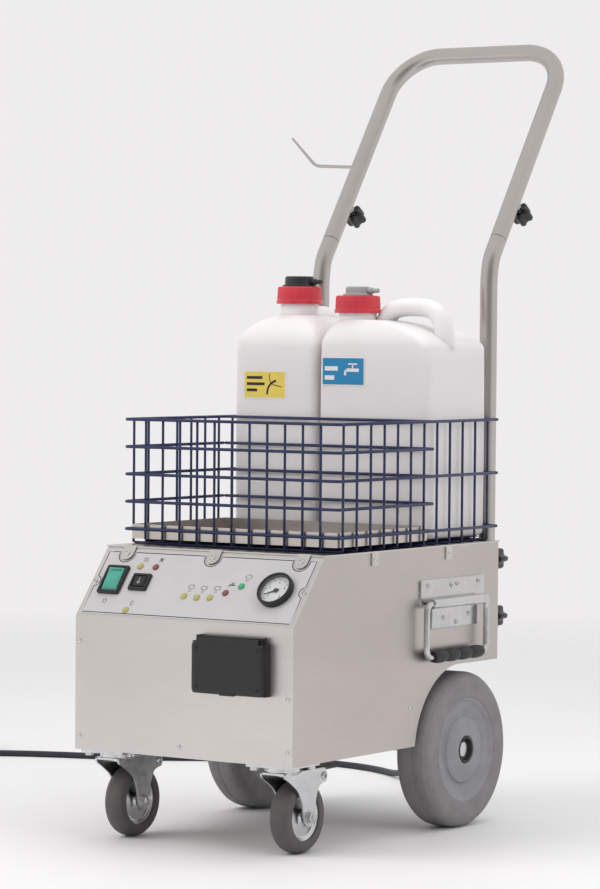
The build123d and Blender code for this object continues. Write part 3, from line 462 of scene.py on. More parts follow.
class Grain(Enum):
    """Which way the brushing of a sheet or tube runs: scale along X, Y and Z."""

    ALONG_X = (2.0, 900.0, 900.0)
    ALONG_Y = (900.0, 2.0, 900.0)


# ---------------------------------------------------------------- finishes
@dataclass(frozen=True)
class BrushedSteel:
    """Satin stainless sheet: fine lines along the grain, soft smears and handling marks."""

    name: str
    grain: Grain = Grain.ALONG_X
    colour: Triple = (0.60, 0.57, 0.55)
    roughness: float = 0.36
    smear: float = 0.10

    def material(self) -> bpy.types.Material:
        """Builds the material."""
        g = Graph(self.name)
        lines = g.noise(self.grain.value, 4.0, 0.6)
        broad = g.noise((3.0, 3.0, 5.0), 3.0, 0.55)
        fine = g.noise((26.0, 26.0, 40.0), 4.0, 0.6)
        level = 0.6 * broad + 0.28 * lines + 0.12 * fine
        return g.finish(g.principled({
            "Base Color": g.mottled(level, (0.3, 0.7), self.colour, self.smear),
            "Roughness": self.roughness - 0.13 + (0.14 * broad + 0.12 * lines),
            "Metallic": 1.0,
            "Anisotropic": 0.5,
            "Normal": g.bump(lines, 0.00002, 0.5),
        }))


@dataclass(frozen=True)
class PlatedSteel:
    """Zinc or chrome plate: bright, with faint cloudy patches of colour and gloss."""

    name: str
    colour: Triple = (0.74, 0.74, 0.75)
    roughness: float = 0.22
    cloud: float = 0.12

    def material(self) -> bpy.types.Material:
        """Builds the material."""
        g = Graph(self.name)
        patches = g.noise(70.0, 4.0, 0.6)
        level = 0.5 * patches + 0.5 * g.noise(18.0, 2.0)
        return g.finish(g.principled({
            "Base Color": g.mottled(level, (0.35, 0.65), self.colour, self.cloud),
            "Roughness": self.roughness - 0.08 + 0.18 * patches,
            "Metallic": 1.0,
            "Normal": g.bump(patches, 0.00004, 0.4),
        }))


@dataclass(frozen=True)
class Moulded:
    """Moulded plastic or rubber with a fine grain and a slight drift of colour and gloss."""

    name: str
    colour: Triple
    roughness: float = 0.45
    grain: float = 900.0
    relief: float = 0.00003
    drift: float = 0.12
    coat: float = 0.0
    see_through: float = 0.0

    def material(self) -> bpy.types.Material:
        """Builds the material."""
        g = Graph(self.name)
        grain = g.noise(self.grain, 2.0)
        broad = g.noise(35.0, 4.0, 0.6)
        return g.finish(g.principled({
            "Base Color": g.mottled(broad, (0.35, 0.65), self.colour, self.drift),
            "Roughness": self.roughness - 0.12 + (0.16 * broad + 0.08 * grain),
            "Coat Weight": self.coat,
            "Transmission Weight": self.see_through,
            "Normal": g.bump(grain, self.relief, 0.6),
        }))


@dataclass(frozen=True)
class Milky:
    """Blow-moulded translucent can: greyer below its filling line, paler and clearer above."""

    name: str
    fill_z: float
    full: Triple = (0.745, 0.712, 0.708)
    empty: Triple = (0.80, 0.78, 0.775)

    def material(self) -> bpy.types.Material:
        """Builds the material."""
        g = Graph(self.name)
        ripple = g.noise((24.0, 24.0, 9.0))
        grain = g.noise(500.0, 2.0)
        height = 14.0 * (g.height() - self.fill_z) + 0.5 + 0.12 * ripple
        tone = g.blend(g.ramp(height, [(0.1, 0), (0.95, 1)]), self.full, self.empty)
        return g.finish(g.principled({
            "Base Color": g.blend(0.12 * ripple, tone, shade(self.full, 0.8)),
            "Roughness": 0.30 + 0.14 * ripple,
            "Subsurface Weight": 0.25,
            "Subsurface Radius": (0.03, 0.03, 0.03),
            "Subsurface Scale": 0.4,
            "Normal": g.bump(0.8 * ripple + 0.2 * grain, 0.0006, 0.35),
        }))


@dataclass(frozen=True)
class ClearPane:
    """Thin clear glass or film: see-through with a gloss that grows at its edges."""

    name: str
    tint: Triple = (0.96, 0.97, 0.97)

    def material(self) -> bpy.types.Material:
        """Builds the material."""
        g = Graph(self.name)
        clear = g.node("ShaderNodeBsdfTransparent", {0: rgba(self.tint)})
        gloss = g.principled({"Base Color": rgba((0.8, 0.8, 0.8)), "Metallic": 1.0,
                              "Roughness": 0.04 + 0.1 * g.noise(90.0)})
        turned_away = g.node("ShaderNodeLayerWeight", {0: 0.5}, "Facing")
        return g.finish(g.mix(0.03 + 0.55 * turned_away ** 3.0, clear, gloss))


@dataclass
class Palette:
    """Every finish of the machine, built once."""

    made: dict[str, bpy.types.Material] = field(default_factory=dict)

    def build(self) -> None:
        """Builds the finishes."""
        finishes = [
            BrushedSteel("front_steel", Grain.ALONG_X, (0.66, 0.63, 0.61)),
            # painted shade: the same stainless as front_steel, made darker for the shade on the side faces
            # and the base pan
            BrushedSteel("shaded_side_steel", Grain.ALONG_Y, (0.56, 0.52, 0.50)),
            BrushedSteel("lid_steel", Grain.ALONG_X, (0.62, 0.60, 0.58), 0.3),
            BrushedSteel("tray_steel", Grain.ALONG_Y, (0.60, 0.56, 0.53), 0.3, 0.16),
            BrushedSteel("tube_steel", Grain.ALONG_X, (0.52, 0.49, 0.47), 0.3, 0.08),
            BrushedSteel("vessel_steel", Grain.ALONG_Y, (0.50, 0.49, 0.48), 0.4),
            PlatedSteel("zinc_plate", (0.62, 0.62, 0.63)),
            PlatedSteel("chrome_plate", (0.60, 0.60, 0.60), 0.16, 0.08),
            PlatedSteel("screw_steel", (0.72, 0.71, 0.70), 0.2, 0.08),
            Moulded("black_moulding", (0.010, 0.0095, 0.010), 0.45, coat=0.05),
            Moulded("pump_moulding", (0.05, 0.05, 0.055), 0.5),
            Moulded("knob_moulding", (0.009, 0.009, 0.011), 0.35, coat=0.15),
            Moulded("grip_rubber", (0.012, 0.011, 0.012), 0.5),
            Moulded("ink", (0.012, 0.010, 0.012), 0.5, drift=0.05),
            Moulded("pale_ink", (0.75, 0.75, 0.75), 0.5, drift=0.05),
            Moulded("panel_film", (0.50, 0.487, 0.492), 0.42, relief=0.00001, drift=0.02),
            Moulded("power_green", (0.03, 0.34, 0.25), 0.16, relief=0.0, drift=0.15, coat=0.6,
                    see_through=0.2),
            Moulded("lamp_yellow", (0.42, 0.38, 0.10), 0.2, relief=0.0, coat=0.5, see_through=0.1),
            Moulded("lamp_red", (0.22, 0.05, 0.055), 0.2, relief=0.0, coat=0.5, see_through=0.1),
            Moulded("lamp_green", (0.03, 0.36, 0.16), 0.2, relief=0.0, coat=0.5, see_through=0.1),
            Moulded("dial_white", (0.80, 0.76, 0.76), 0.4, relief=0.0, drift=0.02),
            Moulded("wheel_rubber", (0.210, 0.203, 0.208), 0.6, 400.0, 0.00008, 0.10),
            Moulded("hub_grey", (0.255, 0.25, 0.262), 0.45, 500.0, 0.00003, 0.08),
            Moulded("castor_rubber", (0.085, 0.078, 0.078), 0.5, 500.0, 0.00006, 0.14),
            Moulded("castor_black", (0.02, 0.02, 0.024), 0.4),
            Moulded("wire_coating", (0.010, 0.018, 0.070), 0.42, 300.0, 0.00006, 0.2, coat=0.05),
            Moulded("cap_red", (0.56, 0.03, 0.045), 0.34, 700.0, 0.00002, 0.1, coat=0.2),
            Moulded("cap_grey", (0.30, 0.31, 0.31), 0.4),
            Moulded("cord_jacket", (0.016, 0.018, 0.03), 0.4, 700.0, 0.00003, 0.2),
            Moulded("label_yellow", (0.72, 0.56, 0.10), 0.4, relief=0.0, drift=0.04),
            Moulded("label_blue", (0.01, 0.21, 0.42), 0.4, relief=0.0, drift=0.04),
            Moulded("label_edge", (0.74, 0.72, 0.70), 0.4, relief=0.0, drift=0.04),
            Milky("can_plastic", 0.690),
            ClearPane("gauge_glass"),
        ]
        for finish in finishes:
            self.made[finish.name] = finish.material()

    def __getitem__(self, name: str) -> bpy.types.Material:
        """A finish by name."""
        return self.made[name]


palette = Palette()


def new_object(name: str, data: bpy.types.ID) -> bpy.types.Object:
    """An object of this data, in the scene and at the origin."""
    item = bpy.data.objects.new(name, data)
    bpy.context.scene.collection.objects.link(item)
    return item


def piece(name: str, shape: Shape, finish: str, body: str, replaces: tuple[str, ...] = (),
          place: Place = MACHINE, sharp: float = 40.0, bevel: float = 0.0) -> bpy.types.Object:
    """Makes one finished piece of the machine.

    Args:
        name: the piece's name.
        shape: its surface.
        finish: name of its finish in the palette.
        body: the body that it rides on.
        replaces: the CAD nodes that it stands for.
        place: where its own axes lie.
        sharp: edges that turn by more than this many degrees stay sharp.
        bevel: width of a bevel on the sharp edges, in millimetres.

    Returns:
        The object, at the origin, with its place in its mesh.
    """
    mesh = bpy.data.meshes.new(name)
    mesh.from_pydata(place.world(shape.points), [], shape.faces)
    work = bmesh.new()
    work.from_mesh(mesh)
    bmesh.ops.remove_doubles(work, verts=work.verts, dist=MERGE)
    bmesh.ops.dissolve_degenerate(work, edges=work.edges, dist=MERGE)
    bmesh.ops.recalc_face_normals(work, faces=work.faces)
    work.to_mesh(mesh)
    work.free()
    mesh.shade_smooth()
    mesh.set_sharp_from_angle(angle=math.radians(sharp))
    item = new_object(name, mesh)
    mesh.materials.append(palette[finish])
    if bevel:
        edge = item.modifiers.new("edge", "BEVEL")
        edge.width = bevel * MM
        edge.segments = 2
        edge.limit_method = "ANGLE"
        edge.angle_limit = math.radians(sharp)
    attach(item, body)
    if replaces:
        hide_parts(*replaces)
    log.info("piece %s rides on %s, %d points", name, body, len(mesh.vertices))
    return item


def dress(finish: str, *nodes: str) -> None:
    """Gives CAD nodes that stay as they are a finish."""
    for node in nodes:
        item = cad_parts[node]
        if not item.material_slots:
            item.data.materials.append(palette[finish])
        for holder in item.material_slots:
            holder.material = palette[finish]
        log.info("node %s keeps its shape", node)


# ---------------------------------------------------------------- mains lead
@dataclass
class Lead:
    """Mains lead: the gland's strain relief, the lead on the floor, its coil and its plug."""

    diameter: float = 10.0
    route: tuple = ((-60, 551, 266), (-60, 608, 262), (-64, 678, 212), (-78, 724, 122),
                    (-108, 766, 46), (-164, 822, 5), (-262, 884, 5), (-384, 898, 5), (-514, 850, 5),
                    (-604, 782, 5), (-694, 739, 5), (-790, 706, 5), (-876, 660, 5), (-936, 607, 5))
    coil_centre: tuple[float, float] = (-986.0, 668.0)
    column_radii: tuple = (75.0, 65.0, 55.0, 45.0)
    layers: int = 4
    turn_points: int = 20
    ramp: float = 0.18
    tail: tuple = ((-1002, 587, 34), (-1018, 586, 29), (-1032, 589, 23), (-1045, 594, 19.5),
                   (-1058, 597, 19))
    length: float = 5.83

    def coil(self) -> np.ndarray:
        """Points of the wound turns.

        A layer takes three turns: its radius steps in or out by one diameter half way through
        each turn, and its height steps up by one diameter at the end of the layer.  Each step is
        a smooth ramp, and the angle falls steadily, seen from above.
        """
        turns = len(self.column_radii) - 1
        t = np.arange(1, turns * self.layers * self.turn_points) / self.turn_points
        radius = np.full(len(t), self.column_radii[0])
        height = np.full(len(t), self.diameter / 2)
        for layer in range(self.layers):
            sign = -1 if layer % 2 == 0 else 1
            for step in range(turns):
                centre = layer * turns + step + 0.5
                radius += sign * self.diameter * self._step(t, centre)
            if layer < self.layers - 1:
                height += self.diameter * self._step(t, (layer + 1) * turns)
        first = np.array(self.route[-1][:2]) - self.coil_centre
        angle = math.atan2(first[1], first[0]) - 2 * np.pi * t
        x = self.coil_centre[0] + radius * np.cos(angle)
        y = self.coil_centre[1] + radius * np.sin(angle)
        return np.column_stack([x, y, height])

    def _step(self, t: np.ndarray, centre: float) -> np.ndarray:
        """A smooth step from 0 to 1 about a turn number: 3s^2 - 2s^3."""
        s = np.clip((t - centre) / self.ramp + 0.5, 0, 1)
        return s * s * (3 - 2 * s)

    def build(self) -> None:
        """Makes the lead's pieces."""
        points = np.vstack([self.route, self.coil(), self.tail])
        curve = bpy.data.curves.new("mains_lead", "CURVE")
        curve.dimensions = "3D"
        spline = curve.splines.new("NURBS")
        spline.points.add(len(points) - 1)
        metres = np.column_stack([MACHINE.world(points), np.ones(len(points))])
        spline.points.foreach_set("co", metres.ravel())
        spline.order_u = 3
        spline.use_endpoint_u = True
        spline.resolution_u = 6
        curve.bevel_depth = self.diameter / 2 * MM
        curve.bevel_resolution = 3
        curve.use_fill_caps = True
        lead = new_object("mains_lead", curve)
        curve.materials.append(palette["cord_jacket"])
        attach(lead, "chassis")
        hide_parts("mains_cord", "cord_coil")
        relief, plug = self.strain_relief(), self.plug()
        dress("black_moulding", "cord_gland")
        exit_point = MACHINE.world(self.route[0]).tolist()

    def strain_relief(self) -> bpy.types.Object:
        """Tapered sleeve where the lead leaves the gland.

        Its radius falls by the taper along it, plus or minus a rib's height as the ribs come.
        """
        bore, foot_radius, taper, rib_height, ribs, long = 4.6, 8.6, 2.9, 0.5, 7, 34
        t = np.linspace(0, 1, 41)
        radius = foot_radius - taper * t + rib_height * np.sign(np.sin(t * 2 * np.pi * ribs))
        profile = np.vstack([[(bore, 0)], np.column_stack([radius, long * t]), [(bore, long)]])
        place = Place((-60, 550, 266), (1, 0, 0), (0, 0.04, 1), (0, 1, -0.04))
        return piece("strain_relief", turned(profile, 32, closed=True), "black_moulding", "chassis",
                     place=place)

    def plug(self) -> bpy.types.Object:
        """Moulded plug with grip ribs and two pins, lying beside the coil."""
        sizes = ((8, 8, 7.9, 0), (10, 10, 9.5, 2), (15, 16, 9, 14), (18.4, 18.4, 9, 20), (18.4, 18.4, 9, 34),
                 (18.8, 18.8, 9, 35.5), (18.8, 18.8, 9, 39), (18, 18, 8, 40))
        pin = spun([(0, 40), (2.4, 40), (2.4, 58.5), (0, 59)], 0.8, 20)
        pins = [pin.on(MACHINE.at(x, 0)) for x in (-9.5, 9.5)]
        shape = joined([loft([(0, 0, *size) for size in sizes])] + pins)
        place = Place((-1046, 599, 19), (0, 1, 0), (0, 0, 1), (-1, 0, 0))
        return piece("mains_plug_body", shape, "black_moulding", "chassis",
                     ("mains_plug",), place)


# ---------------------------------------------------------------- cabinet
def screw(place: Place, radius: float = 3.6) -> Shape:
    """Domed screw head with a socket in it, on a place whose Z points outwards."""
    head_height, dome_turn = 2.0, 0.95
    t = np.linspace(0, 1, 9) * dome_turn
    dome = np.column_stack([radius * np.cos(t), head_height * np.sin(t) / math.sin(dome_turn)])
    rim = [(radius * 0.42, 2.05), (radius * 0.38, 0.9), (0, 0.7)]
    profile = np.vstack([[(0, -0.6), (radius, -0.6)], dome, rim])
    return turned(profile, 24).on(place)


@dataclass
class Cabinet:
    """Sheet metal body with its cover, screws, inner vessel and pump."""

    half_width: float = 179.0
    cover: float = 2.0
    front_screws: tuple = ((172, 214), (-4, 139.5), (-172, 143.5), (-173, 274), (172, 143.5))
    side_screws: tuple = ((0.0, 292, 180), (2.0, 197, 389), (2.0, 389, 389))
    film_screws: tuple = ((-173, 58), (173, 58))

    def build(self) -> None:
        """Dresses the sheets and adds the screws."""
        dress("front_steel", "front_panel")
        # the sides and the base pan take the darker copy of the sheet steel: painted shade
        dress("shaded_side_steel", "side_panel_left", "side_panel_right", "base_pan")
        dress("lid_steel", "top_lid", "rear_panel")
        dress("vessel_steel", "boiler")
        dress("pump_moulding", "feed_pump")
        piece("cabinet_screws", joined(self.screws()), "screw_steel", "chassis",
              ("cover_screws",), sharp=30)

    def screws(self) -> list[Shape]:
        """Heads on the front, the sides, the cover's tabs and the slope."""
        front = Place((0, 0, 0), (1, 0, 0), (0, 0, 1), (0, -1, 0))
        heads = [screw(front.at(x, z)) for x, z in self.front_screws]
        for side, _ in SIDES:
            heads += [screw(facing((side * (self.half_width + out), y, z), side))
                      for out, y, z in self.side_screws]
        heads += [screw(SLOPE.at(x, TAB_NOSE_UP + 1, self.cover + 0.3), 4.4) for x in TAB_X]
        heads += [screw(SLOPE.at(x, up)) for x, up in self.film_screws]
        return heads


# ---------------------------------------------------------------- control slope
class Lamp(Enum):
    """Colour of an indicator, as the finish of its lens."""

    YELLOW = "lamp_yellow"
    RED = "lamp_red"
    GREEN = "lamp_green"


def direction(degrees: float) -> np.ndarray:
    """A unit vector in XY at an angle from X."""
    angle = math.radians(degrees)
    return np.array([math.cos(angle), math.sin(angle)])


def tap_symbol(x: float, y: float, size: float, lift: float) -> list[Shape]:
    """A plain tap: handle, stem, body and spout."""
    lines = (([(-3, 3.4), (3, 3.4)], 0.9), ([(0, 3.4), (0, 1)], 0.9), ([(-4, 0), (4.2, 0)], 1.9),
             ([(-4, 0), (-5, -0.8), (-5, -3)], 1.5))
    return [stroke(np.array(line) * size + (x, y), width * size, lift) for line, width in lines]


@dataclass
class ControlSlope:
    """Printed film, rockers, lamps, marks and the pressure gauge."""

    film: float = 0.5
    half_film: float = 171.5
    lamps: tuple = ((-108.8, 85.5, Lamp.YELLOW), (-82.8, 85.5, Lamp.RED), (-100.2, 13.0, Lamp.YELLOW),
                    (-15.4, 41.0, Lamp.YELLOW), (6.2, 40.0, Lamp.YELLOW), (27.5, 41.0, Lamp.YELLOW),
                    (49.0, 50.0, Lamp.RED), (69.8, 62.0, Lamp.GREEN))
    gauge: tuple[float, float] = (129.0, 57.0)
    gauge_radius: float = 26.0

    def build(self) -> None:
        """Makes the slope's pieces."""
        dress("panel_film", "fascia_overlay")
        piece("film_outline", self.outline(), "ink", "chassis", place=SLOPE)
        piece("panel_marks", self.marks(), "ink", "chassis", place=SLOPE)
        self.rockers()
        for colour in Lamp:
            spots = [(x, up) for x, up, lens in self.lamps if lens is colour]
            shape = joined([self.lens().on(MACHINE.at(x, up)) for x, up in spots])
            piece(colour.value + "_lenses", shape, colour.value, "chassis",
                  ("indicator_lamps",), SLOPE)
        self.pressure_gauge()

    def outline(self) -> Shape:
        """Dark line just inside the film's edge, round the tabs and the edge screws."""
        low, high, x = 7.0, 108.2, self.half_film
        nose_radius, screw_up, screw_radius = 13.6, 58.0, 8.6
        turn = math.degrees(math.asin((173.0 - x) / screw_radius))
        right = arc((173, screw_up), screw_radius, 270 - turn, 90 + turn)
        parts = [[(-x, low), (x, low)], right, [(x, high)]]
        turn = math.degrees(math.asin((high - TAB_NOSE_UP) / nose_radius))
        for tab in TAB_X[::-1]:
            parts.append(arc((tab, TAB_NOSE_UP), nose_radius, turn, -180 - turn, 24))
        parts += [[(-x, high)], (right * (-1, 1))[::-1]]
        return stroke(np.vstack(parts), 1.3, self.film, closed=True)

    def lens(self) -> Shape:
        """Domed lens with a lip."""
        t = np.linspace(0, math.pi / 2, 8)
        dome = np.column_stack([4.4 * np.cos(t), 1.6 + 1.3 * np.sin(t)])
        return turned(np.vstack([[(0, -6), (3.6, -6), (3.6, 0.4), (5, 0.5), (5, 1.4), (4.7, 1.6)], dome]), 32)

    def marks(self) -> Shape:
        """Small generic symbols above the lamps, and lines under the rockers."""
        lift = self.film
        shapes = []
        for x, up in ((-10, 55), (11.6, 54), (32.9, 55), (75.2, 76)):
            shapes.append(stroke(self.puff(x, up + 2), 0.7, lift, closed=True))
            for dx in (-2.2, 0.8):
                shapes.append(stroke([(x + dx, up - 6), (x + dx + 0.5, up - 3)], 0.7, lift))
        shapes += tap_symbol(54.4, 63.5, 1.0, lift)
        for dx in (-2.4, 0.4, 3.2):
            wave = [(-105 + dx, 93.5), (-104 + dx, 96), (-105 + dx, 98.5), (-104 + dx, 101)]
            shapes.append(stroke(soften(wave, 1.2), 0.8, lift))
        shapes.append(stroke([(-81.5, 94), (-75.5, 101.5)], 1.2, lift))
        shapes.append(stroke([(-81, 101.5), (-76, 94.5)], 1.2, lift))
        shapes.append(stroke([(-82, 98.5), (-75, 98)], 0.8, lift))
        drop = soften([(-95.5, 30), (-98.4, 24.5), (-95.5, 20.5), (-92.6, 24.5)], 2.2, closed=True)
        shapes.append(stroke(drop, 0.7, lift, closed=True))
        shapes.append(stroke(arc((-142, 26.5), 3.2, 130, 410, 20), 0.8, lift))
        shapes.append(stroke([(-142, 26.5), (-142, 31)], 0.8, lift))
        return joined(shapes)

    def puff(self, x: float, y: float) -> np.ndarray:
        """Outline of a small puff: a circle whose radius swells five times."""
        angle = np.linspace(0, 2 * np.pi, 40, endpoint=False)
        radius = 3.3 + 0.55 * np.abs(np.sin(2.5 * angle)) * 2
        return np.column_stack([x + 1.25 * radius * np.cos(angle), y + 0.8 * radius * np.sin(angle)])

    def frame_ring(self, half_x: float, half_y: float, wall: float, out: float) -> Shape:
        """Rounded frame: a small section carried round a rounded rectangle."""
        section = [(0, 0.3), (0, out - 1.2), (1.2, out), (wall - 0.8, out), (wall, out - 1), (wall, 0.3)]
        levels = [(0, 0, half_x - inset, half_y - inset, max(0.4, 2.2 - inset * 0.4), z)
                  for inset, z in section]
        return loft(levels, closed=True)

    def rockers(self) -> None:
        """Both rockers with their frames."""
        power, reset = SLOPE.at(-142.0, 60.5, self.film), SLOPE.at(-96.5, 59.0, self.film)
        frames = self.frame_ring(18, 23, 4.4, 5).on(power) + self.frame_ring(15, 13.5, 4.4, 4.5).on(reset)
        piece("rocker_frames", frames, "black_moulding", "chassis", ("switch_bezels",))
        piece("power_rocker_key", self.key(12.6, 17.6, 5.2, 2.6), "power_green", "power_rocker",
              ("power_rocker",), power)
        slots = [stroke([(x, 11.5), (x, 15)], 0.9, 6.1) for x in (-6, -3, 0, 3)]
        slots.append(stroke([(7.5, 12), (7.5, 14.5)], 2.4, 6.2))
        piece("power_rocker_slots", joined(slots), "ink", "power_rocker", place=power)
        piece("reset_rocker_key", self.key(9.6, 8.2, 4.6, 1.4), "black_moulding", "reset_rocker",
              ("reset_rocker",), reset)
        white = [stroke(arc((0, -2.2), 1.7, 0, 360, 18), 0.6, 4.75), stroke([(0, 1.4), (0, 4.6)], 0.7, 5.1)]
        piece("reset_rocker_mark", joined(white), "pale_ink", "reset_rocker", place=reset)

    def key(self, half_x: float, half_y: float, out: float, tilt: float) -> Shape:
        """Rocker key.

        Its top lies at out + tilt (0.55 v + 0.45 v^3) / 2, where v runs from -1 to 1 up the key, and
        falls off near its edges by the square of the way through the edge band.
        """
        edge_at, edge_drop, foot = 0.86, 1.1, -3
        u, v = np.meshgrid(np.linspace(-1, 1, 13), np.linspace(-1, 1, 21))
        edge = np.maximum(np.abs(u), np.abs(v))
        fall = np.clip((edge - edge_at) / 0.14, 0, 1) ** 2 * edge_drop
        top = out + tilt * (0.55 * v + 0.45 * v**3) * 0.5 - fall
        upper = np.stack([half_x * u, half_y * v, top], -1)
        rim = np.concatenate([upper[0, :-1], upper[:-1, -1], upper[-1, :0:-1], upper[:0:-1, 0]])
        low = rim * (1, 1, 0) + (0, 0, foot)
        face = net(upper, wrap_v=False, caps=False)
        wall = net(np.stack([rim, low]), caps=False)
        return face + wall + Shape(low, [list(range(len(rim)))])

    def pressure_gauge(self) -> None:
        """Case, dial, needle and glass."""
        where = SLOPE.at(*self.gauge, self.film)
        r = self.gauge_radius
        ring = soften([(r - 1.5, -4), (r - 0.4, 0), (r, 2), (r, 8.2), (r - 1.6, 10), (r - 3.4, 10),
                       (r - 4, 8.6), (r - 4, 2), (0, 2), (0, -4)], 0.8, 4)
        ring = np.vstack([[(0, -4)], ring[:-1]])
        piece("gauge_bezel", turned(ring, 96), "black_moulding", "chassis",
              ("gauge_case",), where, 30)
        face = [(0, 2.0), (r - 4.1, 2.0), (r - 4.1, 2.3), (0, 2.3)]
        piece("gauge_dial", turned(face, 64), "dial_white", "chassis", place=where)
        piece("gauge_scale", self.scale(), "ink", "chassis", place=where)
        piece("gauge_needle_arm", self.needle(), "ink", "gauge_needle",
              ("gauge_needle",), where)
        t = np.linspace(0, 1, 8)
        glass = np.column_stack([(r - 3.9) * (1 - t), 8.4 + 0.9 * np.sin(t * math.pi / 2)])
        glass = np.vstack([[(0, 7.9), (r - 3.9, 7.9)], glass])
        piece("gauge_window", turned(glass, 64), "gauge_glass", "chassis",
              ("gauge_lens",), where)

    def scale(self) -> Shape:
        """Dial marks every 27 degrees, fine marks between them, and plain numbers 0 to 8."""
        start, step, face = 225, 6.75, 2.3
        outer, number_radius, digit = 19.4, 12.8, 0.8
        shapes = []
        for i in range(41):
            inner, width = (16.0, 0.7) if i % 4 == 0 else (17.8, 0.35)
            outward = direction(start - step * i)
            shapes.append(stroke([outward * inner, outward * outer], width, face))
        digits = {0: [(0, 0), (1, 0), (1, 2), (0, 2), (0, 0)],
                  2: [(0, 2), (1, 2), (1, 1), (0, 1), (0, 0), (1, 0)],
                  4: [(0, 2), (0, 1), (1, 1), (1, 2), (1, 0)],
                  6: [(1, 2), (0, 2), (0, 0), (1, 0), (1, 1), (0, 1)],
                  8: [(0, 1), (0, 2), (1, 2), (1, 1), (0, 1), (0, 0), (1, 0), (1, 1)]}
        for number, line in digits.items():
            centre = direction(start - 5 * step * number) * number_radius - (digit, 2 * digit)
            shapes.append(stroke(np.array(line) * (2 * digit) + centre, 0.5, face))
        return joined(shapes)

    def needle(self) -> Shape:
        """Tapered pointer with its hub, pointing to the low end of the scale."""
        hub = spun([(0, 2.4), (3.2, 2.4), (3.2, 4.6), (0, 4.9)], 0.6)
        axes = np.array([direction(205), direction(295)])
        outline = np.array([(-5, 1.1), (17, 0.35), (17, -0.35), (-5, -1.1)]) @ axes
        return hub + slab(outline, 3.2, 3.9)


# ---------------------------------------------------------------- outlet
@dataclass
class Outlet:
    """Surface-mounted outlet: a box, its well and the sprung flap that closes it."""

    centre: tuple[float, float] = (85.5, 251.25)
    half: tuple[float, float] = (58.5, 34.75)
    depth: float = 13.0
    top_z: float = 294.0

    def build(self) -> None:
        """Makes the flap and dresses the box."""
        dress("black_moulding", "socket_box")
        x, z = self.centre
        place = Place((x, -self.depth, z), (1, 0, 0), (0, 0, 1), (0, -1, 0))
        half_x, half_z = self.half
        section = [(0.6, 0.3), (0, 0.9), (0, 2.4), (0.7, 3.1), (2.2, 4.5), (3.2, 5.0), (9, 5.0)]
        shapes = [loft([(0, 0, half_x - i, half_z - i, 6.5 - 0.4 * i, h) for i, h in section], 10)]
        for sx, sz in ((-1, -1), (-1, 1), (1, -1), (1, 1)):
            shapes.append(screw(MACHINE.at(sx * (half_x - 9), sz * (half_z - 9), 4.4), 2.6))
        hinge_z = self.top_z - 4 - z
        lying = Place((0, hinge_z, -4), (0, 0, 1), (0, 1, 0), (1, 0, 0))
        shapes.append(spun([(0, -46), (3.4, -46), (3.4, 46), (0, 46)], 0.8, 24).on(lying))
        lip, leaf = (half_z + 0.8, 50, 5.5, 1), (hinge_z + 1.2, 44, 2.6, 0.8)
        latch = (-half_z + 1.2, 12, 2.4, 1.0)
        for block, low, high in ((lip, 0.5, 4.2), (leaf, -4, 2), (latch, 0.6, 5.0)):
            shapes.append(loft([(0, *block, low), (0, *block, high)]))
        piece("outlet_flap", joined(shapes), "black_moulding", "socket_lid",
              ("socket_lid",), place, 32, 0.25)


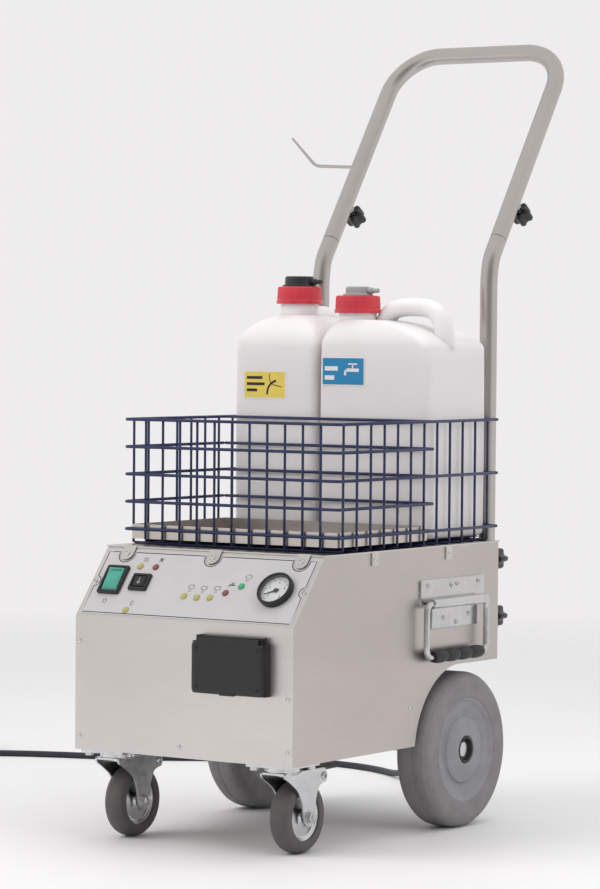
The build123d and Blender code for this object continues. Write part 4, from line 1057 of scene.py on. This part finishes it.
# ---------------------------------------------------------------- carry handles
@dataclass
class CarryHandle:
    """Folding carry handle on one side: plate, rail, bail and ribbed grip."""

    side: int
    word: str
    face_x: float = 179.0
    bail_out: float = 13.0
    pivot_z: float = 322.0
    drop: float = 74.0
    lugs: tuple[float, float] = (313.0, 473.0)

    def build(self) -> None:
        """Makes the handle's pieces."""
        self.bail()
        self.grip()

    def plate(self) -> Shape:
        """Pressed plate in two parts, with its rail and seven screws."""
        place = facing((self.side * self.face_x, 0, 0), self.side)
        s, edge = self.side, 0.7
        shapes = []
        for y, z, half_y, half_z in ((398.5, 337.5, 85.5, 17.5), (406.5, 303, 63.5, 18)):
            levels = [(s * y, z, half_y, half_z, 3, 0), (s * y, z, half_y, half_z, 3, 2.2),
                      (s * y, z, half_y - edge, half_z - edge, 2.5, 3)]
            shapes.append(loft(levels))
        shapes.append(self.rail())
        for y, z in ((331, 347), (466, 347), (372, 300), (406, 292), (440, 302), (392, 345), (408, 346)):
            shapes.append(screw(MACHINE.at(s * y, z, 3), 3.2))
        return joined(shapes).on(place)

    def rail(self) -> Shape:
        """Rolled rail that wraps the pivot: a rounded section along the plate."""
        radius, points = 7.2, 28
        angle = np.linspace(0, 2 * np.pi, points, endpoint=False)
        up, out = radius * np.sin(angle), radius * np.cos(angle)
        rows = [np.column_stack([np.full(points, self.side * y), self.pivot_z + up * k,
                                 self.bail_out + out * k])
                for y, k in ((326, 0.9), (327, 1.0), (469, 1.0), (470, 0.9))]
        return net(np.stack(rows))

    def bail(self) -> None:
        """Chromed rod: pivot stubs, two legs and the bar of the grip."""
        x = self.side * (self.face_x + self.bail_out)
        y0, y1 = self.lugs
        low = self.pivot_z - self.drop
        stub = 60
        corners = [(x, y0 + stub, self.pivot_z), (x, y0, self.pivot_z), (x, y0, low), (x, y1, low),
                   (x, y1, self.pivot_z), (x, y1 - stub, self.pivot_z)]
        path = soften(corners, 14, 12)
        piece(f"carry_bail_{self.word}", tube(path, 4.4, (1, 0, 0), 24), "chrome_plate",
              f"side_bail_{self.word}", (f"side_bail_{self.word}",))

    def grip(self) -> None:
        """Black sleeve whose radius swells over four finger ribs.

        The radius is the least one plus the swell times |sin 4 pi t|^0.6, t running along the grip.
        """
        bore, least, swell, ribs = 4.5, 7.0, 2.2, 4
        low = self.pivot_z - self.drop
        y0, y1 = self.lugs[0] + 16, self.lugs[1] - 14
        t = np.linspace(0, 1, 121)
        radius = least + swell * np.abs(np.sin(np.pi * ribs * t)) ** 0.6
        profile = np.vstack([[(bore, y0)], np.column_stack([radius, y0 + (y1 - y0) * t]), [(bore, y1)]])
        place = Place((self.side * (self.face_x + self.bail_out), 0, low), (1, 0, 0), (0, 0, -1), (0, 1, 0))
        piece(f"carry_grip_{self.word}", turned(profile, 40, closed=True), "grip_rubber",
              f"side_bail_{self.word}", (f"bail_grip_{self.word}",), place, 50)


# ---------------------------------------------------------------- wheels
@dataclass
class RearWheel:
    """Large wheel: grey tyre with a mould line, dished hub and a dark hub ring."""

    side: int
    word: str
    centre: tuple[float, float] = (426.0, 110.0)
    outer_x: float = 191.0
    width: float = 54.0
    radius: float = 110.0

    def build(self) -> None:
        """Makes the tyre and the hub."""
        place = facing((self.side * self.outer_x, *self.centre), self.side)
        body = f"rear_wheel_{self.word}"
        w, r = self.width, self.radius
        tyre = [(74, -1.4), (78, -0.6), (98, 0.0), (104, -2.2), (108.6, -8), (r - 0.1, -14), (r - 0.1, -23.6),
                (r - 0.9, -24.4), (r - 0.9, -25.6), (r - 0.1, -26.4), (r - 0.1, 14 - w), (108.6, 8 - w),
                (104, 2.2 - w), (98, -w), (78, 0.6 - w), (74, 1.4 - w), (70, 6 - w), (70, -6)]
        piece(f"rear_tyre_{self.word}", spun(tyre, 1.6, 144, 5, True), "wheel_rubber", body,
              (body,), place, 50)
        hub = [(19.2, -3), (20.5, -1.2), (24, -1.6), (40, -4.4), (46.4, -5.6), (48.2, -8.6), (52, -9.6),
               (66, -6.2), (71, -2.2), (73.6, -1.8), (73.6, 1.8 - w), (66, 6.2 - w), (36, 10 - w),
               (30, 1 - w), (11, 1 - w), (11, 12 - w), (11, -12), (19.2, -12)]
        ring = [(10.3, -11.8), (18.9, -11.8), (18.9, -2.0), (17.2, -1.2), (15.4, -2.4), (14, -7.5),
                (10.3, -8)]
        for name, shape, finish in (("rear_hub", spun(hub, 1.5, 128, 5, True), "hub_grey"),
                                    ("hub_ring", spun(ring, 0.8, 64, 4, True), "black_moulding")):
            piece(f"{name}_{self.word}", shape, finish, body, place=place, sharp=50)


@dataclass
class Castor:
    """Swivel castor: zinc fork, dark tyre, pale hub, wheel bolt and brake pedal."""

    side: int
    word: str
    swivel: tuple[float, float] = (137.0, 41.0)
    trail: float = 35.0
    radius: float = 50.0
    cheek_in: float = 17.5
    cheek: float = 3.0
    crown_z: float = 113.7

    def build(self) -> None:
        """Makes the castor's pieces."""
        self.wheel()
        self.fork()
        self.pedal()

    @property
    def x(self) -> float:
        """Sideways place of the castor."""
        return self.side * self.swivel[0]

    @property
    def axle(self) -> tuple[float, float]:
        """Place of the wheel bolt, as y and z."""
        return self.swivel[1] + self.trail, self.radius

    def wheel(self) -> None:
        """Round-shouldered tyre on a dished hub."""
        place = facing((self.x, *self.axle), 1)
        body = f"castor_wheel_{self.word}"
        tyre = [(33, -15), (43, -15), (47, -12), (49.9, -5), (49.9, 5), (47, 12), (43, 15), (33, 15),
                (32, 12), (32, -12)]
        piece(f"castor_tyre_{self.word}", spun(tyre, 3.6, 96, 7, True), "castor_rubber", body,
              (body,), place, 50)
        dish = [(5.2, 14), (10, 14), (11.5, 12.4), (14, 10.6), (28, 8.6), (31, 11.4), (32.4, 12), (32.4, -12),
                (31, -11.4), (28, -8.6), (14, -10.6), (11.5, -12.4), (10, -14), (5.2, -14)]
        piece(f"castor_hub_{self.word}", spun(dish, 1.6, 72, 5, True), "zinc_plate", body,
              place=place, sharp=50)

    def fork(self) -> None:
        """Pressed fork: two shaped cheeks under a round crown, with rivets and the wheel bolt."""
        y, z = self.axle
        top = self.crown_z
        front = self.swivel[1] - 24
        outline = [(front, top), (front, top - 7), (front + 12, 100), (front + 30, 88), (y - 17, 72),
                   (y - 14, z + 4), (y - 11, z - 9), (y, z - 14), (y + 11, z - 9), (y + 14, z + 4),
                   (y + 15, 74), (y + 22, 90), (y + 33, 94), (y + 40, 94), (y + 43, 103), (y + 38, top),
                   (y + 18, top)]
        flat = soften(outline, 5, 7, True)
        shapes = []
        for sign in (-1, 1):
            outer = self.cheek_in + self.cheek
            low, high = sorted((sign * self.cheek_in, sign * outer))
            shapes.append(slab(flat, low, high).on(facing((self.x, 0, 0), 1)))
            for fixing, cy, cz in ((self.nut(8.0), y, z), (self.rivet(5.4), y + 34, 102.6)):
                spot = (self.x + sign * (outer - 0.2), cy, cz)
                shapes.append(fixing.on(Place(spot, (0, 1, 0), (0, 0, 1), (float(sign), 0, 0))))
        race = [(6.2, 109.8), (20.4, 109.8), (22.5, 110.6), (24.5, 112.4), (24.5, 113.8), (6.2, 113.8)]
        crown = [(0, 1.5, 20.4, 25, 5, top - 3.6), (0, 1.5, 20.4, 25, 5, top - 0.6),
                 (0, 1.5, 19.6, 24.2, 4.6, top)]
        king = MACHINE.at(self.x, self.swivel[1])
        shapes += [spun(race, 1, 64, 4, True).on(king), loft(crown).on(king)]
        bolt = turned([(0, -24), (4.9, -24), (4.9, 24), (0, 24)], 24)
        shapes.append(bolt.on(facing((self.x, y, z), 1)))
        piece(f"castor_horn_{self.word}", joined(shapes), "zinc_plate", f"castor_fork_{self.word}",
              (f"castor_fork_{self.word}",), MACHINE, 35, 0.5)

    def nut(self, radius: float) -> Shape:
        """Six-sided nut on a washer with the bolt's end standing out of it."""
        washer = spun([(0, 0), (radius + 1.5, 0), (radius + 1.5, 1.4), (0, 1.4)], 0.3)
        hexagon = turned([(0, 1.4), (radius * 0.96, 1.4), (radius, 2), (radius, 5.4), (radius * 0.86, 6),
                          (0, 6)], 6)
        end = turned([(0, 5.5), (4.2, 5.5), (4.2, 7.4), (3.6, 8), (0, 8)], 24)
        return washer + hexagon + end

    def rivet(self, radius: float) -> Shape:
        """Tubular rivet: a rounded collar with an open middle."""
        section = [(radius - 2.4, 0), (radius, 0), (radius, 1.8), (radius - 1, 2.6), (radius - 2.4, 2.4)]
        return spun(section, 0.4, 28, 3, True)

    def pedal(self) -> None:
        """Thin black tread that reaches behind the fork, on its cross tube."""
        y, top = self.swivel[1] + 66, self.crown_z
        tread = [(y - 10, -14), (y + 40, -13), (y + 64, -9), (y + 64, 9), (y + 40, 13), (y - 10, 14)]
        rib = [(y + 14, -9), (y + 58, -6), (y + 58, 6), (y + 14, 9)]
        shapes = []
        for line, bend, steps, low, high in ((tread, 4, 6, 3.6, 0), (rib, 3, 5, 6.2, 3.4)):
            outline = soften(line, bend, steps, True)[:, ::-1] + (self.x, 0)
            shapes.append(slab(outline, top - low, top - high))
        across = facing((self.x, y, top - 11), 1)
        shapes.append(spun([(0, -17), (5.5, -17), (5.5, 17), (0, 17)], 0.6, 28).on(across))
        shapes.append(loft([(self.x, y, 12, 4, 1.5, z) for z in (top - 11, top - 3)]))
        body = f"castor_pedal_{self.word}"
        piece(f"brake_pedal_{self.word}", joined(shapes), "castor_black", body, (body,),
              bevel=0.4)


# ---------------------------------------------------------------- push handle
@dataclass
class PushHandle:
    """Two posts, the U-shaped handle that sleeves over them, its knobs and its hook."""

    post_x: float = 145.0
    post_y: float = 550.0
    post_z0: float = 262.0
    bend_z: float = 797.0
    lean: float = math.radians(34.5)
    joint_at: float = 45.0
    spigot_end: float = 135.0
    top_at: float = 390.7
    bend_radius: float = 70.0
    half_gap: float = 0.4
    tube_radius: float = 12.5
    spigot_radius: float = 10.9
    knob_at: float = 113.0
    rear_knobs: tuple[float, float] = (288.0, 371.0)

    def point(self, x: float, along: float, out: float = 0.0) -> Triple:
        """A point near the leaning handle: along its line from the bend, and out behind it."""
        s, c = math.sin(self.lean), math.cos(self.lean)
        return (x, self.post_y + along * s + out * c, self.bend_z + along * c - out * s)

    def build(self) -> None:
        """Makes the handle's pieces."""
        self.posts()
        self.loop()
        self.hook()
        for side, word in SIDES:
            self.knobs(side, word)
        dress("black_moulding", "post_clamps")

    def posts(self) -> None:
        """Both posts, bent back, with the spigot that the handle slides on."""
        shapes = []
        for side, _ in SIDES:
            x = side * self.post_x
            line = [(x, self.post_y, self.post_z0), (x, self.post_y, self.bend_z),
                    self.point(x, self.joint_at - self.half_gap)]
            shapes.append(tube(soften(line, 36, 14), self.tube_radius, (1, 0, 0), 36))
            spigot = np.array([self.point(x, self.joint_at - 2), self.point(x, self.spigot_end)])
            shapes.append(tube(spigot, self.spigot_radius, (1, 0, 0), 32))
        piece("handle_post_tubes", joined(shapes), "tube_steel", "chassis",
              ("handle_posts",), bevel=0.4)

    def loop(self) -> None:
        """The U: two legs, two large bends and the top bar, open at its lower ends."""
        x = self.post_x
        start = self.joint_at + self.half_gap
        line = [self.point(-x, start), self.point(-x, self.top_at), self.point(x, self.top_at),
                self.point(x, start)]
        path = self.round_bends(np.array(line), self.bend_radius)
        normal = (0.0, math.cos(self.lean), -math.sin(self.lean))
        shapes = [tube(path, self.tube_radius, normal, 40)]
        boss = spun([(0, 0), (7, 0), (7, 4), (0, 4)], 0.6, 28)
        for side, _ in SIDES:
            shapes.append(boss.on(self.outward(side * x, self.knob_at, self.tube_radius - 0.8)))
        piece("push_handle_tube", joined(shapes), "tube_steel", "push_handle",
              ("push_handle",), bevel=0.4)

    def round_bends(self, line: np.ndarray, radius: float) -> np.ndarray:
        """A line whose inner corners, all square, become true quarter arcs of one radius."""
        parts = [line[:1]]
        turn = np.linspace(0, np.pi / 2, 20)[:, None]
        for before, corner, after in zip(line, line[1:], line[2:]):
            back, ahead = unit(before - corner), unit(after - corner)
            centre = corner + radius * (back + ahead)
            parts.append(centre - radius * (np.cos(turn) * ahead + np.sin(turn) * back))
        return np.vstack(parts + [line[-1:]])

    def outward(self, x: float, along: float, out: float) -> Place:
        """Axes on the back of the handle whose Z points out of it."""
        s, c = math.sin(self.lean), math.cos(self.lean)
        return Place(self.point(x, along, out), (1, 0, 0), (0, s, c), (0, c, -s))

    def knob(self) -> Shape:
        """Five-lobed knob.

        Its radius is 13.0 + 2.7 tanh(1.6 cos 5a) times a share that rounds its two rims, over a neck.
        """
        angle = np.linspace(0, 2 * np.pi, 80, endpoint=False)
        lobes = 13.0 + 2.7 * np.tanh(1.6 * np.cos(5 * angle))
        share = np.array([0.55, 0.86, 0.97, 1.0, 1.0, 0.97, 0.88, 0.6, 0.35])
        height = np.array([5.6, 6.0, 7.2, 9.5, 22.5, 25.2, 27.0, 28.0, 27.2])
        return ringed(share[:, None] * lobes, height) + spun([(0, 0.2), (8, 0.2), (7.4, 7), (0, 7)], 0.8)

    def knobs(self, side: int, word: str) -> None:
        """The knob on one leg of the handle and the two behind the cabinet."""
        x = side * self.post_x
        knob = self.knob() + turned([(0, -1), (3.4, -1), (3.4, 1), (0, 1)], 16)
        piece(f"handle_knob_{word}", knob, "knob_moulding", f"upper_knob_{word}",
              (f"upper_knob_{word}",), self.outward(x, self.knob_at, self.tube_radius + 4.3), 50)
        for level, z in zip(("low", "high"), self.rear_knobs):
            node = f"rear_knob_{level}_{word}"
            back = Place((x, self.post_y + self.tube_radius - 0.6, z), (1, 0, 0), (0, 0, -1), (0, 1, 0))
            piece(f"clamp_knob_{level}_{word}", knob, "knob_moulding", node, (node,),
                  back, 50)

    def hook(self) -> None:
        """Bent wire hook welded to the left leg, with its weld bead and rounded tip."""
        foot = np.array(self.point(-self.post_x - self.tube_radius + 0.5, 182.0))
        knee = foot + (-68, 0, 3)
        tip = knee + (-43, 0, 43)
        path = soften([foot, knee, tip], 9, 10)
        radius = np.full(len(path), 2.5)
        radius[-1] = 1.6
        bead = spun([(0, -1), (5, -1), (3.6, 2), (0, 3)], 1.2, 24)
        leg_side = Place(tuple(foot), (0, 1, 0), (0, 0, 1), (-1, 0, 0))
        shape = tube(path, radius, (0, 1, 0), 20) + bead.on(leg_side)
        piece("hose_hook_wire", shape, "tube_steel", "push_handle", ("hose_hook",))


# ---------------------------------------------------------------- basket
@dataclass
class Basket:
    """Coated wire basket: rings, uprights and a floor of crossed wires."""

    ring_wire: float = 2.2
    bar_wire: float = 1.8
    half_x: float = 178.0
    y_front: float = 110.0
    y_back: float = 525.0
    y_middle: float = 348.0
    corner: float = 9.0
    first_row: float = 422.0
    pitch: float = 38.1
    pitch_x: float = 29.1
    pitch_y: float = 34.2
    overhang: float = 1.6
    floor_z: float = 402.85

    def build(self) -> None:
        """Makes the basket's pieces."""
        half = self.half_x - self.ring_wire
        partition = self.wires([(-half, self.y_middle, z, half, self.y_middle, z) for z in self.rows()],
                               self.ring_wire)
        grilles = {"front": self.end(self.y_front, 1, self.rows()),
                   "rear": self.end(self.y_back, -1, self.rows()[::2]),
                   "left": self.side(-1), "right": self.side(1), "partition": partition,
                   "floor": self.floor()}
        for name, shape in grilles.items():
            piece(f"basket_{name}_wires", shape, "wire_coating", "chassis",
                  (f"basket_{name}",), sharp=60)

    def wires(self, spans: list[tuple], radius: float) -> Shape:
        """Straight wires, each given by the x, y and z of its start and then of its end."""
        span = np.array(spans, float)
        return rods(span[:, :3], span[:, 3:], radius)

    def rows(self) -> np.ndarray:
        """Heights of the ring wires."""
        return self.first_row + self.pitch * np.arange(5)

    def bars_x(self) -> np.ndarray:
        """Sideways places of the front, rear and floor wires."""
        return self.pitch_x * np.arange(-5, 6)

    def bars_y(self) -> np.ndarray:
        """Lengthwise places of the side and floor wires."""
        return self.y_front + 15 + self.pitch_y * np.arange(12)

    def end(self, y: float, inward: int, rows: np.ndarray) -> Shape:
        """Front or rear wall: ring wires with their corner bends, and uprights inside them."""
        shapes = []
        for z in rows:
            line = [(-self.half_x, y + inward * self.corner, z), (-self.half_x, y, z), (self.half_x, y, z),
                    (self.half_x, y + inward * self.corner, z)]
            shapes.append(tube(soften(line, self.corner, 8), self.ring_wire, (0, 0, 1), 14))
        inner = y + inward * (self.ring_wire + self.bar_wire - 0.3)
        low, high = self.floor_z + 5, rows[-1] + self.overhang
        shapes.append(self.wires([(x, inner, low, x, inner, high) for x in self.bars_x()], self.bar_wire))
        return joined(shapes)

    def side(self, sign: int) -> Shape:
        """Side wall: three long wires, two short ones to the partition, and uprights."""
        x = sign * self.half_x
        y0 = self.y_front + self.corner
        rows = self.rows()
        backs = [self.y_back - self.corner if i % 2 == 0 else self.y_middle for i in range(5)]
        rings = self.wires([(x, y0, z, x, y, z) for y, z in zip(backs, rows)], self.ring_wire)
        inner = x - sign * (self.ring_wire + self.bar_wire - 0.3)
        top = rows[-1] + self.overhang
        return rings + self.wires([(inner, y, self.floor_z, inner, y, top) for y in self.bars_y()],
                                  self.bar_wire)

    def floor(self) -> Shape:
        """Lengthwise wires welded on cross wires."""
        y0, y1 = self.y_front + 4, self.y_back - 4
        long_z = self.floor_z + 2 * self.bar_wire
        half, z = self.half_x - 5.5, self.floor_z
        along = [(x, y0, long_z, x, y1, long_z) for x in self.bars_x()]
        across = [(-half, y, z, half, y, z) for y in self.bars_y()]
        return self.wires(along + across, self.bar_wire)


# ---------------------------------------------------------------- cans
@dataclass(frozen=True)
class Can:
    """One blow-moulded can with its ribbed screw cap and its front label."""

    word: str
    x: tuple[float, float]
    neck: tuple[float, float]
    seat: float
    y: tuple[float, float] = (353.0, 518.0)
    base: float = 409.0
    wall_top: float = 676.0
    shoulder_top: float = 722.0

    def loops(self) -> np.ndarray:
        """The body's sections.

        A wall section is a rounded square: each coordinate of a circle keeps its sign and is raised
        to a small power.  At share s of the way up the shoulder the section is (1 - k) times that
        shape, pinched in by the square of s, plus k times the neck's circle, where k = s^1.55, and
        its height follows sin(s pi / 2)^0.9.
        """
        power, neck_radius, pinch_in = 0.17, 27.0, 26
        turn = np.linspace(0, 2 * np.pi, 128, endpoint=False) + np.pi / 4
        cx, cy = sum(self.x) / 2, sum(self.y) / 2
        hx, hy = (self.x[1] - self.x[0]) / 2, (self.y[1] - self.y[0]) / 2
        unit = np.stack([np.cos(turn), np.sin(turn)], -1)
        square = np.sign(unit) * np.abs(unit) ** power
        circle = unit * neck_radius + self.neck
        rows = []
        foot = [(5.0, 0.0), (2.4, 1.4), (0.8, 4.0), (0.0, 8.0)]
        wall = self.wall_top - self.base
        swell = [(-0.6 * math.sin(math.pi * s), 8 + (wall - 8) * s) for s in np.linspace(0.06, 1, 12)]
        for inset, rise in foot + swell:
            rows.append(lifted(square * (hx - inset, hy - inset) + (cx, cy), self.base + rise))
        for s in np.linspace(0.06, 1, 18):
            blend = s**1.55
            lift = self.wall_top + (self.shoulder_top - self.wall_top) * math.sin(s * math.pi / 2) ** 0.9
            pinched = square * (hx - pinch_in * s**2, hy - pinch_in * s**2) + (cx, cy)
            rows.append(lifted((1 - blend) * pinched + blend * circle, lift))
        rows += [lifted(circle, lift) for lift in (self.seat - 2, self.seat + 16)]
        return np.stack(rows)

    def cap(self, body: str, top_finish: str, top_radius: float, top_high: float) -> None:
        """Ribbed screw cap with a plain lower band, and the smaller stopper on it."""
        angle = np.linspace(0, 2 * np.pi, 240, endpoint=False)
        ribs = 0.55 * (0.5 + 0.5 * np.sign(np.cos(60 * angle)))
        share = np.array([0, 0, 0, 0, 0, 1, 1, 1, 0, 0, 0])
        radius = np.array([27.2, 33.0, 33.4, 33.4, 32.2, 31.9, 31.4, 31.0, 30.2, 28.0, 0.01])
        height = np.array([0, 0, 0.8, 5.0, 6.0, 6.6, 15, 23.0, 24.6, 25.2, 25.2])
        ring = ringed(radius[:, None] + share[:, None] * ribs, height)
        place = Place((*self.neck, self.seat))
        piece(f"{self.word}_cap_ring", ring, "cap_red", body, (body,), place, 35)
        r, h = top_radius, top_high
        knob = [(0, 24.8), (r + 3.5, 24.8), (r + 3.5, 27), (r, 28), (r - 0.6, h - 2), (r - 2, h), (0, h)]
        nozzle = [(0, 0), (4.6, 0), (4.6, 10), (3.2, 11), (3.2, 20), (0, 20)]
        side = Place((r - 3, 0, 32), (0, 1, 0), (0, 0, 1), (1, 0, 0))
        piece(f"{self.word}_cap_top", spun(knob, 1.2, 48) + spun(nozzle, 0.5, 24).on(side), top_finish,
              body, place=place)

    def label(self, body: str, x: tuple[float, float], z: tuple[float, float], finish: str,
              marks: list[Shape], ink: str) -> None:
        """Flat label on the front wall with its pale edge and drawn marks."""
        cx, cz = sum(x) / 2, sum(z) / 2
        hx, hz = (x[1] - x[0]) / 2, (z[1] - z[0]) / 2
        place = Place((cx, self.y[0] - 0.75, cz), (1, 0, 0), (0, 0, 1), (0, -1, 0))
        edge = loft([(0, 0, hx + 1.4, hz + 1.4, 1.6, out) for out in (-0.6, 0.1)])
        colour_field = loft([(0, 0, hx, hz, 0.8, out) for out in (0.0, 0.2)])
        for suffix, shape, look in (("_edge", edge, "label_edge"), ("", colour_field, finish),
                                    ("_marks", joined(marks), ink)):
            piece(f"{self.word}_label{suffix}", shape, look, body, place=place)


@dataclass
class Cans:
    """The detergent can and the wider water can."""

    detergent: Can = Can("detergent", (-166, -25), (-95, 418), 738.0)
    water: Can = Can("water", (-21, 165), (19, 398), 725.0, shoulder_top=716.0)

    def build(self) -> None:
        """Makes both cans with their caps, labels and grips."""
        left, right = self.detergent, self.water
        hump = self.handle([(-95, 452, 700), (-95, 458, 724), (-95, 498, 722), (-95, 508, 690)],
                           (1, 0, 0), 12.5)
        piece("detergent_can_body", net(left.loops()) + hump, "can_plastic", "detergent_can",
              ("detergent_can",), sharp=60)
        bow = self.handle([(44, 418, 690), (58, 418, 726), (84, 418, 735), (134, 418, 733), (151, 418, 712),
                           (152, 418, 672)], (0, 1, 0), 13.0)
        piece("water_can_body", net(right.loops()) + bow, "can_plastic", "water_can",
              ("water_can",), sharp=60)
        left.cap("detergent_cap", "castor_black", 21.5, 40)
        right.cap("water_cap", "cap_grey", 18, 38)
        bars = [stroke([(-31, z), (end, z)], 4.2, 0.2) for z, end in ((10, -4), (1, 0), (-8, -13))]
        pour = [stroke(soften([(4, -14), (6, -4), (12, 3), (20, 6)], 4), 3.2, 0.2),
                stroke(soften([(9, 16), (8, 6), (14, 0), (30, -3)], 5), 1.2, 0.2)]
        left.label("detergent_can", (-145, -75), (603, 640), "label_yellow", bars + pour, "ink")
        lines = [stroke([(-31, z), (end, z)], 6.2, 0.2) for z, end in ((4, -9), (-9, -15))]
        lines += tap_symbol(16, 2, 2.5, 0.2)
        right.label("water_can", (-10, 59), (623.5, 661), "label_blue", lines, "pale_ink")

    def handle(self, line: list[Triple], up: Triple, radius: float) -> Shape:
        """Moulded grip: an oval section along a soft hump, with its ends inside the shoulder."""
        return tube(soften(line, 26, 12), radius, up, 32, flat=1.25)


# ---------------------------------------------------------------- studio
@dataclass
class Studio:
    """Plain pale floor, soft lamps and the camera."""

    camera_at: Triple = (2757.5, -3835.7, 701.5)
    yaw: float = 0.59025
    pitch: float = -0.03265
    roll: float = 0.008
    lens: float = 142.98
    frame_height: float = 36.0
    ambient: float = 0.62
    backdrop: Triple = (0.858, 0.842, 0.850)
    dark_side: Triple = (0.64, -0.76, 0.10)

    def build(self) -> None:
        """Makes the camera, floor, world and lamps."""
        scene = bpy.context.scene
        scene.view_settings.view_transform = "Standard"
        self.camera(scene)
        self.world(scene)
        self.floor()
        self.lamp("key_lamp", (-1.9, -2.6, 2.9), 2.4, 70, (1.0, 0.985, 0.97))
        self.lamp("side_lamp", (2.9, -0.6, 2.2), 1.8, 26, (1.0, 0.99, 0.98))
        self.lamp("top_lamp", (0.3, 0.6, 3.4), 2.6, 40, (1.0, 1.0, 1.0))

    def camera(self, scene: bpy.types.Scene) -> None:
        """The camera, aimed by yaw, pitch and roll."""
        data = bpy.data.cameras.new("camera")
        item = new_object("camera", data)
        item.location = MACHINE.world(self.camera_at)
        item.rotation_mode = "XYZ"
        level = math.cos(self.pitch)
        look = np.array([-math.sin(self.yaw) * level, math.cos(self.yaw) * level, math.sin(self.pitch)])
        right = np.array([math.cos(self.yaw), math.sin(self.yaw), 0.0])
        up = np.cross(right, look)
        right, up = (right * math.cos(self.roll) + up * math.sin(self.roll),
                     up * math.cos(self.roll) - right * math.sin(self.roll))
        turn = Matrix((tuple(right), tuple(up), tuple(-look))).transposed()
        item.rotation_euler = turn.to_euler()
        data.sensor_fit = "VERTICAL"
        data.sensor_height = self.frame_height
        data.lens = self.lens
        data.clip_end = 60
        scene.camera = item

    def world(self, scene: bpy.types.Scene) -> None:
        """Even daylight for diffuse light, a backdrop for direct view, and one darker side in gloss.

        A glossy ray meets the backdrop's brightness less a share that grows as its direction nears
        the dark side, which gives round metal its darker streak.
        """
        world = bpy.data.worlds.new("studio")
        scene.world = world
        world.use_nodes = True
        g = Graph("world", world.node_tree)
        where = g.node("ShaderNodeTexCoord", output="Generated")
        toward = g.node("ShaderNodeVectorMath", {0: where, 1: self.dark_side}, "Value",
                        operation="DOT_PRODUCT")
        dark = g.ramp(toward, [(0.70, 0), (0.93, 1)])
        camera, through, glossy = (g.node("ShaderNodeLightPath", output=f"Is {kind} Ray")
                                   for kind in ("Camera", "Transmission", "Glossy"))
        ambient = g.background((0.97, 0.97, 1.0), self.ambient)
        gloss = g.background((1.0, 0.985, 0.975), 0.86 - 0.5 * dark)
        direct = camera.maths("MAXIMUM", camera, through)
        light = g.mix(direct, g.mix(glossy, ambient, gloss), g.background(self.backdrop))
        g.node("ShaderNodeOutputWorld", {0: light})

    def floor(self) -> None:
        """A large pale floor that fades into the backdrop towards its edge."""
        mesh = bpy.data.meshes.new("floor")
        reach = 9.0
        corners = [(-reach, -reach, 0), (reach, -reach, 0), (reach, reach, 0), (-reach, reach, 0)]
        mesh.from_pydata(corners, [], [(0, 1, 2, 3)])
        item = new_object("floor", mesh)
        g = Graph("pale_floor")
        far = g.node("ShaderNodeVectorMath", {0: g.spot()}, "Value", operation="LENGTH")
        fade = g.ramp(0.2 * far, [(0.22, 0), (0.75, 1)])
        tone = g.blend(g.noise(2.0, 2.0), (0.80, 0.79, 0.79), (0.84, 0.83, 0.83))
        base = g.principled({"Base Color": tone, "Roughness": 0.6})
        clear = g.node("ShaderNodeBsdfTransparent")
        mesh.materials.append(g.finish(g.mix(fade, base, clear)))

    def lamp(self, name: str, place: Triple, size: float, power: float, colour: Triple) -> None:
        """A square soft lamp aimed at the machine's middle."""
        data = bpy.data.lights.new(name, "AREA")
        data.size = size
        data.energy = power
        data.color = colour
        item = new_object(name, data)
        item.location = place
        item.visible_glossy = False
        aim = Vector((0, 0, 0.45)) - Vector(place)
        item.rotation_euler = aim.to_track_quat("-Z", "Y").to_euler()


def main() -> None:
    """Builds the studio, the lead and then each sub-assembly."""
    logging.basicConfig(level=logging.INFO)
    palette.build()
    Studio().build()
    Lead().build()
    Cabinet().build()
    ControlSlope().build()
    Outlet().build()
    handles = [CarryHandle(side, word) for side, word in SIDES]
    plates = joined([handle.plate() for handle in handles])
    piece("carry_plates", plates, "chrome_plate", "chassis", ("side_handle_plates",),
          sharp=30)
    for handle in handles:
        handle.build()
    for side, word in SIDES:
        RearWheel(side, word).build()
        Castor(side, word).build()
    dress("zinc_plate", "castor_plates", "axle_brackets", "rear_axle")
    PushHandle().build()
    Basket().build()
    dress("tray_steel", "drip_tray")
    Cans().build()


if __name__ == "__main__":
    main()
